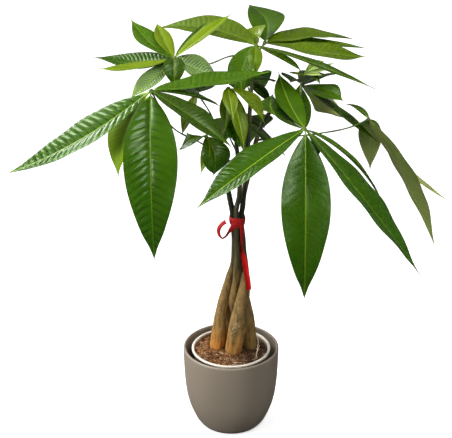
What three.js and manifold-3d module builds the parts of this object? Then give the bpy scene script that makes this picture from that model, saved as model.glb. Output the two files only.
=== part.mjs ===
// Potted money tree: four bare stems twisted into one trunk, tied with a red ribbon, with palmate
// leaves, in a white nursery pot inside a round taupe cover pot.
// Millimetres, +Z up, origin at the centre of the cover pot's underside, front towards -Y.

import * as THREE from "three";
import { mergeVertices } from "three/addons/utils/BufferGeometryUtils.js";
import Module from "manifold-3d";

const wasm = await Module();
wasm.setup();

// Cover pot
const POT_HEIGHT = 135;
const POT_WALL = 4;
const POT_FLOOR = 4;
const POT_LIP_RISE = 2;
const POT_LIP_ROUNDING = 0.3;
const POT_SIDES = 40;
// Outside of the pot from the foot to the lip, as [radius, height]
const POT_OUTSIDE = [
  [44, 0], [48.5, 1.5], [55.5, 11], [60.5, 22], [67, 40], [72, 68], [74.3, 101], [75, 133],
];
const POT_CURVE_STEPS = 10;

// Nursery pot
const GAP = 0.3;
const LINER_FLOOR_RADIUS = 44;
const LINER_TOP_RADIUS = 59.6;
const LINER_TOP = 132.5;
const LINER_WALL = 1.6;
const LINER_RIM_RADIUS = 62;
const LINER_RIM_DEPTH = 4;
const LINER_RIM_ROUNDING = 1;
const LINER_SIDES = 40;
const DRAIN_HOLES = 5;
const DRAIN_RADIUS = 5;
const DRAIN_CIRCLE = 28;
const DRAIN_SIDES = 12;

// Soil
const SOIL_TOP = 126.5;
const SOIL_RELIEF = 1.4;
const SOIL_BROAD_SHARE = 0.55;
const SOIL_RINGS = 7;
const SOIL_SIDES = 36;
const STEM_FOOT = 72;

// Stems
const STEM_SIDES = 10;
const STEM_STEP = 17;
const SOCKET_GAP = 0.35;
// Centre line and radius of each stem from its foot in the soil to its tip, as [x, y, z, radius]
const STEMS = {
  stem_left: [
    [-24, 11, STEM_FOOT, 11.5], [-22.5, 10, 121, 12], [-17, 8, 176, 10], [-11.5, 8, 211, 7.9],
    [-3, 7, 248.5, 6.5], [4, 4, 279, 5.1], [5, 1, 300, 4.9], [5, 0.5, 317, 4.8], [3, -1, 353, 4.5],
    [1.5, -3, 367, 4.2], [-2.5, -8, 390.5, 4], [-6, -12, 413, 3.7], [-4, -12, 452, 3],
  ],
  stem_back: [
    [-9, 36, STEM_FOOT, 8.5], [-5, 32, 137, 9.2], [0, 23, 170, 8.6], [2.9, 12.5, 195, 7.4],
    [4, 2.6, 215, 6.8], [6.3, -2.5, 238, 6.4], [8, -4.5, 252, 6], [8.4, -7, 266, 5.6],
    [9.3, -10.5, 285.5, 5.4], [9.5, -11.5, 306.5, 5.2], [8.5, -11.5, 323, 4.9], [8, -11, 357, 4.5],
    [7, -11, 370.5, 4], [11, -12, 392, 3.6], [12.5, -14, 414, 3.5], [9.5, -16, 454, 3.2],
    [6.5, -20, 487, 2.8],
  ],
  stem_front: [
    [0, -4, STEM_FOOT, 12], [2.5, -6, 124.5, 13], [12.5, -12, 186.5, 13], [17.5, -12, 221, 10.6],
    [21, -11.5, 247, 8], [21.5, -6, 263, 6.4], [20.5, -1, 278, 5.6], [18, 0, 302.5, 5.2],
    [17, -1, 319, 5], [14.5, -2, 353.5, 4.5], [16, -3, 367, 3.8], [18, -4, 389, 3.7],
    [22, -4, 410, 3.6], [30.5, 0, 448, 3.5],
    [39, 5, 485.5, 3.3], [57, 25, 514, 3], [86.5, 38, 531.5, 2.6], [107, 38, 556.5, 2.3],
  ],
  stem_right: [
    [31, 6, STEM_FOOT, 9], [30.5, 6, 127, 9.5], [27.5, 7, 176.5, 9.2], [21.5, 9, 210.5, 7.9],
    [16, 10, 245, 6.8], [13.5, 12, 275, 5.7], [12.5, 10.5, 296, 5.2], [12, 9.5, 313.5, 4.8],
    [11, 8.5, 349.5, 4.3], [16, 7.5, 362.5, 3.8], [18.5, 7.5, 384, 3.7], [20.5, 8, 405, 3.6],
    [23.5, 16, 442, 3.5], [25, 24, 470.5, 3.4], [27, 34, 506.5, 3.2], [30.5, 44, 557.5, 2.8],
    [35.5, 49, 598.5, 2.5],
  ],
};

// Leaves
const PETIOLE_SIDES = 6;
const PETIOLE_STEP = 18;
const PETIOLE_RADIUS = 1.5;
const PETIOLE_SWELL = 0.8;
const BUD_SCALE = 0.7;
const HUB_RADIUS = 3.4;
const BLADE_EDGE = 0.7;
const BLADE_RIB = 1.5;
const BLADE_FOLD = THREE.MathUtils.degToRad(12);
const BLADE_LEAN = 0.6;
const STALK_SHARE = 0.03;
const STALK_HALF_WIDTH = 1.3;
const FOOT_FULLNESS = 0.65;
const TIP_DRAW = 0.65;
// Marks a leaflet that is widest two fifths of the way along instead of half way
const EARLY = true;
const EARLY_SHIFT = 0.756;
const EARLY_FULLNESS = 1.15;
const EARLY_DRAW = -0.15;
const LARGE_LEAFLET = 90;
// Shares of a leaflet's length at which its cross sections stand
const LARGE_STATIONS = [0, 0.05, 0.13, 0.25, 0.39, 0.54, 0.69, 0.83, 0.93, 1];
const SMALL_STATIONS = [0, 0.08, 0.25, 0.48, 0.72, 0.91, 1];
// Each leaf: the stem it grows from, the course of its leafstalk and the hub where its leaflets meet.
// Each leaflet: [heading, rise, length, width, arch, sway, roll], angles in degrees. Heading turns
// from +X to +Y, arch lifts the middle of the blade, sway bends it sideways and roll turns its face.
const LEAVES = [
  { name: "leaf_front_left", stem: "stem_left", hub: [-112, -75, 580],
    route: [[-4, -12, 450], [-43, -30, 485], [-84, -60, 521]],
    leaflets: [
      [-176, -30, 236, 66, -5, -19, -17, EARLY],
      [-152, -66, 131, 68, 12, 5, 0],
      [-87, -70, 235, 75, 54, 2, 0, EARLY],
      [-26, -27, 142, 54, 10, 13, 0],
      [32, -21, 122, 46, 6, 7, 0],
      [25, 1, 188, 62, -4, 0, 0],
    ] },
  { name: "leaf_left", stem: "stem_right", hub: [-83, 20, 598],
    route: [[35, 48, 593], [-2, 60, 589], [-32, 48, 581], [-63, 28, 585]],
    leaflets: [
      [127, 17, 118, 40, -8, -2, 0],
      [108, 17, 98, 26, 0, -2, 0],
      [55, 22, 100, 14, 1, -1, 0],
      [36, 26, 114, 28, 1, 2, 0],
      [0, -24, 71, 54, -3, -2, 20],
      [-88, -46, 48, 32, 18, 0, 0],
      [166, -3, 125, 52, -13, 12, -13],
      [-176, -7, 109, 38, -5, -7, 0],
      [-139, -28, 92, 36, -5, 4, -8],
    ] },
  { name: "leaf_top", stem: "stem_right", hub: [36, 50, 609],
    route: [[35.5, 49, 597]],
    leaflets: [
      [147, -1, 184, 70, 11, 8, -8],
      [130, 7, 50, 40, 3, 21, -27],
      [-123, -63, 77, 46, 14, 4, 0],
      [-96, -45, 56, 22, 12, -1, -8],
      [-33, -19, 83, 28, -1, -5, -7],
      [-19, -15, 188, 18, 17, 36, 9],
    ] },
  { name: "leaf_top_right", stem: "stem_right", hub: [50, 75, 606],
    route: [[34, 47, 586], [42, 62, 598]],
    leaflets: [
      [103, 14, 121, 58, 4, 16, 0],
      [18, -3, 145, 60, 4, -8, 0],
      [-1, -3, 153, 46, -2, -9, -2],
      [-5, -7, 152, 48, 5, 29, 9],
    ] },
  { name: "leaf_front_right", stem: "stem_front", hub: [102, -90, 529],
    route: [[29, -1, 442], [52, -45, 484], [82, -75, 516]],
    leaflets: [
      [-89, -76, 242, 70, 40, 2, 0, EARLY],
      [27, -64, 51, 26, 2, 1, 0],
      [-19, -49, 267, 64, 16, 26, 2],
      [7, -46, 169, 36, 14, -1, 0],
      [-152, -27, 194, 70, 15, -18, 0],
      [103, 15, 149, 38, -5, -3, 0],
      [108, 5, 130, 42, -3, -22, 14],
      [90, 13, 128, 36, -12, -5, -5],
    ] },
  { name: "leaf_right", stem: "stem_front", hub: [201, 0, 512],
    route: [[37, 4, 478], [75, 1, 483], [124, 0, 489], [178, 0, 501]],
    leaflets: [
      [23, -46, 213, 44, -14, -12, 14],
      [7, -62, 242, 52, 8, -8, -22],
      [78, -62, 116, 36, 20, -2, -4],
      [145, 19, 47, 14, 3, 4, 0],
    ] },
  { name: "leaf_right_back", stem: "stem_front", hub: [107, 70, 541],
    route: [[97, 38.5, 544], [103, 54, 546]],
    leaflets: [
      [-41, -6, 77, 58, 2, 3, 0],
      [-23, -32, 79, 68, -16, -11, 0],
      [-26, -30, 148, 36, 7, 15, -9],
      [71, -11, 162, 56, 6, 0, 0],
      [94, -16, 156, 50, 7, 0, 13],
    ] },
  { name: "leaf_bud", stem: "stem_front", hub: [106, 35, 568],
    route: [[107, 38, 555]],
    leaflets: [
      [-8, 25, 49, 16, 1, 6, -13],
      [157, 5, 25, 12, -1, 0, 0],
      [-40, -16, 32, 12, 5, -1, 0],
    ] },
  { name: "leaf_centre", stem: "stem_back", hub: [-5, -40, 572],
    route: [[6.5, -20, 485], [4, -27, 527]],
    leaflets: [
      [-98, -66, 58, 20, 5, 0, 0],
      [-82, -28, 63, 22, 10, 2, 0],
      [-65, -54, 91, 25, 12, 2, 0],
      [-32, -35, 74, 44, 12, 3, -10],
    ] },
  { name: "leaf_centre_low", stem: "stem_back", hub: [-12, -35, 532],
    route: [[8.5, -17.5, 466], [-4, -27, 497]],
    leaflets: [
      [-30, -59, 57, 36, 6, 7, 0],
      [8, -39, 81, 48, 9, 14, -6],
    ] },
  { name: "leaf_left_low", stem: "stem_left", hub: [-37, -45, 502],
    route: [[-5, -12, 428], [-22, -30, 473]],
    leaflets: [
      [-104, -56, 57, 14, 9, -6, 0],
      [-56, -70, 58, 48, 14, 0, 0],
      [-171, -26, 42, 38, 12, -19, -12],
    ] },
  { name: "leaf_inner", stem: "stem_left", hub: [-50, 0, 552],
    route: [[-5, -12, 438], [-14, -3, 470], [-31, 0, 521]],
    leaflets: [
      [-138, -63, 66, 26, 5, -4, 0],
      [109, -8, 68, 26, 0, 1, 3],
      [64, -4, 56, 26, 1, -1, 0],
    ] },
  { name: "leaf_back", stem: "stem_right", hub: [23, 105, 535],
    route: [[28, 36, 516], [27, 75, 529]],
    leaflets: [
      [27, -8, 49, 30, 7, 12, -9],
      [-22, -37, 50, 34, 2, -2, 0],
      [75, -25, 119, 50, 12, 4, -30],
      [95, -23, 168, 52, 12, -2, -2],
      [130, -14, 95, 48, 6, 1, -7],
    ] },
  { name: "leaf_back_low", stem: "stem_right", hub: [18, 90, 482],
    route: [[25, 23, 467], [22, 55, 478]],
    leaflets: [
      [108, -38, 137, 52, 11, -7, 11],
      [88, -41, 159, 56, 20, -1, 4],
      [16, -45, 104, 46, 2, -9, 0],
      [74, -25, 149, 52, 9, 2, 0],
    ] },
];

// Ribbon
const BAND_CENTRE = [9, -1.4];
const BAND_HALF_WIDTH = 12;
const BAND_HALF_DEPTH = 15.2;
const BAND_LOW = 345;
const BAND_HIGH = 360;
const BAND_SIDES = 28;
const RIBBON_WIDTH = 7;
const RIBBON_THICKNESS = 0.9;
// Centre lines of the hanging tail and of the loose end, as [x, y, z]
const TAIL_ROUTE = [
  [14, -15.6, 352], [15.5, -14, 338], [17, -13.5, 318], [19, -14, 300], [22, -17, 280], [25, -23, 262],
  [26, -24.5, 245],
];
const LOOP_ROUTE = [
  [4, -17, 350], [-3, -19, 340], [-8, -20, 332], [-14, -20, 328], [-19, -19, 333], [-21, -18, 341],
  [-18, -18, 349], [-9, -17, 358],
];

// Finishes: [colour, roughness]
const FINISHES = {
  pot_glaze: [0x7c7163, 0.55],
  nursery_plastic: [0xf3eadc, 0.4],
  coir: [0x6a4128, 0.95],
  bark: [0x7c6a42, 0.8],
  leaf_green: [0x447010, 0.4],
  ribbon_red: [0xa8181a, 0.45],
};

// One closed skin through a row of rings, each a list of the same number of points. Rings turn
// anticlockwise seen from the last ring, and faces past `turnAt` are split the other way, so that the
// two faces of a blade are split alike.
function loft(rings, turnAt = Infinity) {
  const count = rings[0].length;
  const positions = rings.flat().flatMap((point) => [point.x, point.y, point.z]);
  const faces = [];
  for (let ring = 0; ring + 1 < rings.length; ring += 1) {
    for (let side = 0; side < count; side += 1) {
      const a = ring * count + side;
      const b = ring * count + ((side + 1) % count);
      const c = b + count;
      const d = a + count;
      if (side < turnAt) {
        faces.push(a, b, c, a, c, d);
      } else {
        faces.push(a, b, d, b, c, d);
      }
    }
  }
  const last = (rings.length - 1) * count;
  for (let side = 1; side + 1 < count; side += 1) {
    faces.push(0, side + 1, side);
    faces.push(last, last + side, last + side + 1);
  }
  const geometry = new THREE.BufferGeometry();
  geometry.setAttribute("position", new THREE.Float32BufferAttribute(positions, 3));
  geometry.setIndex(faces);
  return geometry;
}

function solidOf(geometry) {
  const bare = geometry.clone();
  bare.deleteAttribute("normal");
  bare.deleteAttribute("uv");
  const merged = mergeVertices(bare);
  return new wasm.Manifold(new wasm.Mesh({
    numProp: 3,
    vertProperties: new Float32Array(merged.attributes.position.array),
    triVerts: new Uint32Array(merged.index.array),
  }));
}

function geometryOf(solid) {
  const mesh = solid.getMesh();
  const geometry = new THREE.BufferGeometry();
  geometry.setAttribute("position", new THREE.BufferAttribute(new Float32Array(mesh.vertProperties), 3));
  geometry.setIndex(new THREE.BufferAttribute(new Uint32Array(mesh.triVerts), 1));
  return geometry;
}

function fuse(solids) {
  return solids.reduce((whole, piece) => whole.add(piece));
}

// A round tube along a curve. `radiusAt` gives its radius at a share of the curve's own parameter.
function taperedTube(curve, radiusAt, sides, steps) {
  const frames = curve.computeFrenetFrames(steps, false);
  const rings = [];
  for (let step = 0; step <= steps; step += 1) {
    const share = curve.getUtoTmapping(step / steps);
    const centre = curve.getPoint(share);
    const radius = radiusAt(share);
    const ring = [];
    for (let side = 0; side < sides; side += 1) {
      const angle = (2 * Math.PI * side) / sides;
      ring.push(centre.clone()
        .addScaledVector(frames.normals[step], radius * Math.cos(angle))
        .addScaledVector(frames.binormals[step], radius * Math.sin(angle)));
    }
    rings.push(ring);
  }
  return loft(rings);
}

function vector(point) {
  return new THREE.Vector3(point[0], point[1], point[2]);
}

function stemGeometry(points, spare = 0) {
  const curve = new THREE.CatmullRomCurve3(points.map(vector), false, "centripetal");
  const radiusAt = (share) => {
    const place = share * (points.length - 1);
    const index = Math.min(Math.floor(place), points.length - 2);
    return THREE.MathUtils.lerp(points[index][3], points[index + 1][3], place - index) + spare;
  };
  return taperedTube(curve, radiusAt, STEM_SIDES, Math.round(curve.getLength() / STEM_STEP));
}

// The inside of a socket for a stem: the stem with a small clearance all round and at both ends
function stemSocket(points) {
  const longer = points.map((point) => [...point]);
  longer[0][2] -= SOCKET_GAP;
  longer[longer.length - 1][2] += SOCKET_GAP;
  return solidOf(stemGeometry(longer, SOCKET_GAP));
}

function potGeometry() {
  const corners = POT_OUTSIDE.map(([radius, height]) => new THREE.Vector2(radius, height));
  const curve = new THREE.SplineCurve(corners);
  const outside = curve.getPoints(POT_CURVE_STEPS);
  const inside = outside
    .filter((point) => point.y > POT_FLOOR + POT_WALL)
    .map((point) => new THREE.Vector2(point.x - POT_WALL, point.y))
    .reverse();
  const lipRadius = POT_OUTSIDE[POT_OUTSIDE.length - 1][0];
  const lip = [
    new THREE.Vector2(lipRadius - POT_LIP_ROUNDING * POT_WALL, POT_HEIGHT),
    new THREE.Vector2(lipRadius - (1 - POT_LIP_ROUNDING) * POT_WALL, POT_HEIGHT),
  ];
  inside[0].y = POT_HEIGHT - POT_LIP_RISE;
  const floorEdge = new THREE.Vector2(LINER_FLOOR_RADIUS + POT_WALL, POT_FLOOR);
  const underside = new THREE.Vector2(0, 0);
  const floor = new THREE.Vector2(0, POT_FLOOR);
  return turned([underside, ...outside, ...lip, ...inside, floorEdge, floor], POT_SIDES);
}

// A lathe turned about the upright axis
function turned(profile, sides) {
  return new THREE.LatheGeometry(profile, sides).rotateX(Math.PI / 2);
}

function linerGeometry() {
  const floor = POT_FLOOR + GAP;
  const rimLow = LINER_TOP - LINER_RIM_DEPTH;
  const inner = LINER_TOP_RADIUS - LINER_WALL;
  const profile = [
    [0, floor], [LINER_FLOOR_RADIUS, floor], [LINER_TOP_RADIUS, rimLow], [LINER_RIM_RADIUS, rimLow],
    [LINER_RIM_RADIUS, LINER_TOP - LINER_RIM_ROUNDING], [LINER_RIM_RADIUS - LINER_RIM_ROUNDING, LINER_TOP],
    [inner + LINER_RIM_ROUNDING / 2, LINER_TOP], [inner, LINER_TOP - LINER_RIM_ROUNDING],
    [LINER_FLOOR_RADIUS - LINER_WALL, floor + LINER_WALL], [0, floor + LINER_WALL],
  ].map(([radius, height]) => new THREE.Vector2(radius, height));
  let solid = solidOf(turned(profile, LINER_SIDES));
  for (let hole = 0; hole < DRAIN_HOLES; hole += 1) {
    const angle = (2 * Math.PI * hole) / DRAIN_HOLES;
    const drill = new THREE.CylinderGeometry(DRAIN_RADIUS, DRAIN_RADIUS, 4 * LINER_WALL, DRAIN_SIDES);
    drill.rotateX(Math.PI / 2);
    drill.translate(DRAIN_CIRCLE * Math.cos(angle), DRAIN_CIRCLE * Math.sin(angle), floor + LINER_WALL / 2);
    solid = solid.subtract(solidOf(drill));
  }
  return geometryOf(solid);
}

// Height of the rough soil surface over its mean level, from a few crossed waves
function soilRelief(x, y) {
  const broad = Math.sin(x * 0.11 + 0.6) * Math.cos(y * 0.13 - 0.4);
  const fine = Math.sin(x * 0.37 - y * 0.23) * Math.sin(y * 0.41 + x * 0.19 + 1.1);
  return SOIL_RELIEF * (SOIL_BROAD_SHARE * broad + (1 - SOIL_BROAD_SHARE) * fine);
}

function soilGeometry() {
  const low = POT_FLOOR + 2 * GAP + LINER_WALL;
  const lowRadius = LINER_FLOOR_RADIUS - LINER_WALL - GAP;
  const rise = (LINER_TOP_RADIUS - LINER_FLOOR_RADIUS) / (LINER_TOP - LINER_RIM_DEPTH - low);
  const topRadius = lowRadius + rise * (SOIL_TOP - low) - 2 * GAP;
  const profile = [new THREE.Vector2(0, low), new THREE.Vector2(lowRadius, low)];
  for (let ring = SOIL_RINGS; ring >= 0; ring -= 1) {
    profile.push(new THREE.Vector2((topRadius * ring) / SOIL_RINGS, SOIL_TOP));
  }
  const geometry = turned(profile, SOIL_SIDES);
  const places = geometry.attributes.position;
  for (let index = 0; index < places.count; index += 1) {
    if (places.getZ(index) > SOIL_TOP - 1) {
      places.setZ(index, SOIL_TOP + soilRelief(places.getX(index), places.getY(index)));
    }
  }
  let solid = solidOf(geometry);
  for (const points of Object.values(STEMS)) {
    solid = solid.subtract(stemSocket(points));
  }
  return geometryOf(solid);
}

// Half the width of a leaflet at a share of its length, as a share of its greatest half width: a
// narrow foot, the widest place near the middle or earlier, and a drawn-out tip
function outlineAt(share, early) {
  const blade = THREE.MathUtils.clamp((share - STALK_SHARE) / (1 - STALK_SHARE), 0, 1);
  const half = Math.sin(Math.PI * blade ** (early ? EARLY_SHIFT : 1));
  const power = early ? EARLY_FULLNESS + EARLY_DRAW * blade : FOOT_FULLNESS + TIP_DRAW * blade;
  return Math.max(half, 0) ** power;
}

function leafletGeometry(hub, [heading, rise, length, width, arch, sway, roll, early = false]) {
  const turn = THREE.MathUtils.degToRad(heading);
  const lift = THREE.MathUtils.degToRad(rise);
  const outward = new THREE.Vector3(Math.cos(turn), Math.sin(turn), 0);
  const chord = outward.clone().multiplyScalar(Math.cos(lift));
  chord.z = Math.sin(lift);
  const face = outward.clone().multiplyScalar(BLADE_LEAN);
  face.z = 1;
  face.normalize();
  const up = face.clone().addScaledVector(chord, -face.dot(chord)).normalize();
  const side = chord.clone().cross(up);
  const tip = hub.clone().addScaledVector(chord, length);
  const bend = hub.clone().addScaledVector(chord, length / 2).addScaledVector(up, 2 * arch);
  bend.addScaledVector(side, 2 * sway);
  const midrib = new THREE.QuadraticBezierCurve3(hub, bend, tip);
  const rings = (length >= LARGE_LEAFLET ? LARGE_STATIONS : SMALL_STATIONS).map((share) => {
    const centre = midrib.getPoint(share);
    const along = midrib.getTangent(share);
    const normal = face.clone().addScaledVector(along, -face.dot(along)).normalize();
    normal.applyAxisAngle(along, THREE.MathUtils.degToRad(roll));
    const across = along.clone().cross(normal);
    const half = Math.max((width / 2) * outlineAt(share, early), STALK_HALF_WIDTH);
    const place = (sideways, upwards) => centre.clone()
      .addScaledVector(across, sideways)
      .addScaledVector(normal, upwards);
    const reach = half * Math.cos(BLADE_FOLD);
    const edge = half * Math.sin(BLADE_FOLD);
    const rib = BLADE_RIB / 2;
    const thin = BLADE_EDGE / 2;
    return [
      place(-reach, edge + thin), place(0, rib), place(reach, edge + thin),
      place(reach, edge - thin), place(0, -rib), place(-reach, edge - thin),
    ];
  });
  return loft(rings, 3);
}

function leafGeometry(leaf) {
  const hub = vector(leaf.hub);
  const curve = new THREE.CatmullRomCurve3([...leaf.route.map(vector), hub], false, "centripetal");
  const thickness = leaf.name === "leaf_bud" ? BUD_SCALE : 1;
  const swell = (share) => PETIOLE_SWELL * Math.abs(2 * share - 1) ** 3;
  const steps = Math.max(2, Math.round(curve.getLength() / PETIOLE_STEP));
  const radiusAt = (share) => thickness * (PETIOLE_RADIUS + swell(share));
  const stalk = taperedTube(curve, radiusAt, PETIOLE_SIDES, steps);
  const knob = new THREE.IcosahedronGeometry(thickness * HUB_RADIUS, 0).translate(hub.x, hub.y, hub.z);
  const blades = leaf.leaflets.map((row) => solidOf(leafletGeometry(hub, row)));
  const whole = fuse([solidOf(stalk), solidOf(knob), ...blades]);
  return geometryOf(whole.subtract(stemSocket(STEMS[leaf.stem])));
}

// A flat strip of ribbon along a course. Its width lies as near as it can to the `broad` direction.
function stripGeometry(route, broad) {
  const curve = new THREE.CatmullRomCurve3(route.map(vector), false, "centripetal");
  const steps = 2 * (route.length - 1);
  const rings = [];
  for (let step = 0; step <= steps; step += 1) {
    const centre = curve.getPointAt(step / steps);
    const along = curve.getTangentAt(step / steps);
    const outward = along.clone().cross(broad).normalize();
    const across = outward.clone().cross(along);
    rings.push([[1, 1], [-1, 1], [-1, -1], [1, -1]].map(([sideways, outwards]) => centre.clone()
      .addScaledVector(across, (sideways * RIBBON_WIDTH) / 2)
      .addScaledVector(outward, (outwards * RIBBON_THICKNESS) / 2)));
  }
  return loft(rings);
}

function ribbonGeometry() {
  const inner = BAND_HALF_WIDTH - RIBBON_THICKNESS;
  const profile = [
    [BAND_HALF_WIDTH, BAND_LOW], [BAND_HALF_WIDTH, BAND_HIGH], [inner, BAND_HIGH], [inner, BAND_LOW],
    [BAND_HALF_WIDTH, BAND_LOW],
  ].map(([radius, height]) => new THREE.Vector2(radius, height));
  const band = turned(profile, BAND_SIDES).scale(1, BAND_HALF_DEPTH / BAND_HALF_WIDTH, 1);
  band.translate(BAND_CENTRE[0], BAND_CENTRE[1], 0);
  const tail = stripGeometry(TAIL_ROUTE, new THREE.Vector3(1, 0, 0));
  const loop = stripGeometry(LOOP_ROUTE, new THREE.Vector3(0, 1, 0));
  let whole = fuse([band, tail, loop].map(solidOf));
  for (const points of Object.values(STEMS)) {
    whole = whole.subtract(stemSocket(points));
  }
  return geometryOf(whole);
}

const tree = new THREE.Group();

function addPart(name, geometry, finish) {
  const [color, roughness] = FINISHES[finish];
  const mesh = new THREE.Mesh(geometry, new THREE.MeshStandardMaterial({ color, roughness, metalness: 0 }));
  mesh.name = name;
  tree.add(mesh);
}

addPart("cover_pot", potGeometry(), "pot_glaze");
addPart("nursery_pot", linerGeometry(), "nursery_plastic");
addPart("soil", soilGeometry(), "coir");
for (const [name, points] of Object.entries(STEMS)) {
  addPart(name, stemGeometry(points), "bark");
}
for (const leaf of LEAVES) {
  addPart(leaf.name, leafGeometry(leaf), "leaf_green");
}
addPart("ribbon", ribbonGeometry(), "ribbon_red");

export default tree;
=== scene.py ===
"""A potted money tree: four bare stems twisted into one trunk and tied with a red ribbon, hand-shaped
glossy leaves, and a white nursery pot of coir inside a round taupe cover pot.

Sizes in the tables are millimetres in the part's own frame, +Z up, with the front towards -Y. Places
and sizes of the lamps and the camera's place are in metres, and the scales of patterns are per metre.
"""

import math

import bmesh
import bpy
import mathutils
import numpy as np
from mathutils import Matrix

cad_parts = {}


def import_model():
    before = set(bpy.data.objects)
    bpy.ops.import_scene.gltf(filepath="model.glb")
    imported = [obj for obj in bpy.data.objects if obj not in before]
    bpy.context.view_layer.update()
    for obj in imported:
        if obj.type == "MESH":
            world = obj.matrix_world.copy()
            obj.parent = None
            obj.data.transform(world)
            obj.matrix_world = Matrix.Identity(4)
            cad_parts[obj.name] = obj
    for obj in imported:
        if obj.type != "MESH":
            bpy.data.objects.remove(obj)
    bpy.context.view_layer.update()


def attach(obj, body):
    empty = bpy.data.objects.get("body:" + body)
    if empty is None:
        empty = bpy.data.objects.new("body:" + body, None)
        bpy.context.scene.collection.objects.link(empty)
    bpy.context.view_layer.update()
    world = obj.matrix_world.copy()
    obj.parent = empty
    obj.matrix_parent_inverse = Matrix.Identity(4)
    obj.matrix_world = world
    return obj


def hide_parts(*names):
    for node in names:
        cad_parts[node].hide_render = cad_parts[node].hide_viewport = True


MM = 0.001
SEED = 41
# Points nearer to each other than this, in metres, are merged, and sharper edges than this stay edges
MERGE_DISTANCE = 1e-6
SHARP_ANGLE = math.radians(60)
# Waves that a random field of lumps is made of, and how close they are: the least and what chance adds
LUMP_WAVES = 8
LUMP_CLOSENESS = (0.7, 0.6)
# Greatest lag that chance gives a wave, in radians
GREATEST_LAG = 6

# Cover pot and nursery pot, as (radius, height) from the foot up the outside and down the inside
POT_OUTLINE = [
    (0, 0.4), (40, 0.4), (41, 0), (43.4, 0), (45.2, 0.5), (48.5, 2.2), (52.4, 6.5), (55.8, 11.5),
    (60.6, 22), (64.1, 31), (67, 40), (70, 53), (72, 68), (73.4, 84), (74.3, 101), (74.8, 118), (75, 131),
    (74.9, 133), (74.4, 134.4), (73.6, 135), (72.2, 135), (71.4, 134.5), (71.1, 133.4), (71, 131),
    (70.8, 118), (70.3, 101), (69.4, 84), (68, 68), (66, 53), (63, 40), (60.1, 31), (56.6, 22),
    (51.8, 11.5), (48.4, 5), (46, 4), (0, 4),
]
LINER_OUTLINE = [
    (0, 4.6), (43.6, 4.6), (44.2, 5.4), (59.4, 128.5), (61.6, 128.5), (62, 129), (62, 131.6),
    (61.7, 132.2), (61, 132.5), (58.9, 132.5), (58.2, 132.1), (57.9, 131), (57.4, 125), (42.4, 6.6),
    (0, 6.4),
]
LATHE_SIDES = 144

# Coir: radius, height and relief of its top, height that its skirt reaches down to, and the number of
# its rings and of the points round each
SOIL_RADIUS = 57
SOIL_TOP = 126.5
SOIL_RELIEF = 1.4
SOIL_LOW = 112
SOIL_RINGS = 60
SOIL_SIDES = 180
# Swells of the coir, as in the CAD model: radians per mm and lags of two waves for the broad ones and two
# for the fine ones, and the share of each kind
BROAD_SWELLS = (0.11, 0.6, 0.13, 0.4)
FINE_SWELLS = (0.37, 0.23, 0.41, 0.19, 1.1)
SWELL_SHARES = (0.55, 0.45)
# Bed under the loose coir: how far it lies under the top, size and height of its lumps, height of its
# grain, narrowing of its skirt, and the mm at its edge where nothing is scattered
BED_DROP = 0.8
BED_LUMP_SIZE = 3
BED_LUMPS = 0.5
BED_GRAIN = 0.3
SKIRT_SHARE = 0.985
SOIL_EDGE = 1.6
# Own tone of the bed, which is dark as painted shade in the gaps between the loose pieces: level,
# part of the lumps, part of the grain and greatest value
BED_TONE = (0.12, 0.08, 0.05, 0.5)
# Square of the least share of its thickness that a loose piece keeps towards its ends
END_SHARE = 0.1
# Loose pieces of coir: points along, sides, half thickness, flatness, half length, curl in radians, lift
STRANDS = {
    "chip": (4, 5, 0.9, 0.55, 2.0, 0.5, 0.3),
    "fibre": (7, 3, 0.32, 1.0, 6.5, 1.1, 1.8),
    "curled_fibre": (9, 3, 0.30, 1.0, 7.0, 2.3, 2.0),
    "root_hair": (7, 3, 0.22, 1.0, 5.5, 0.9, 2.0),
}
# Seeds of the sizes and tones of the loose pieces
SIZE_SEED = 7
TONE_SEED = 3
# What is scattered over the bed: the loose piece, then the values of the tree's inputs named here
SCATTER_INPUTS = ("Density", "Seed", "Smallest", "Largest", "Tilt", "Darkest", "Lightest")
LOOSE_COIR = {
    "coir_chips": ("chip", 150000.0, 11, 0.5, 1.9, 0.9, 0.0, 0.6),
    "coir_fibres": ("fibre", 90000.0, 23, 0.5, 1.4, 0.5, 0.2, 0.9),
    "coir_curls": ("curled_fibre", 50000.0, 37, 0.5, 1.1, 0.9, 0.45, 0.95),
    "root_hairs": ("root_hair", 16000.0, 51, 0.5, 1.3, 0.6, 0.88, 1.0),
}

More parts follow.
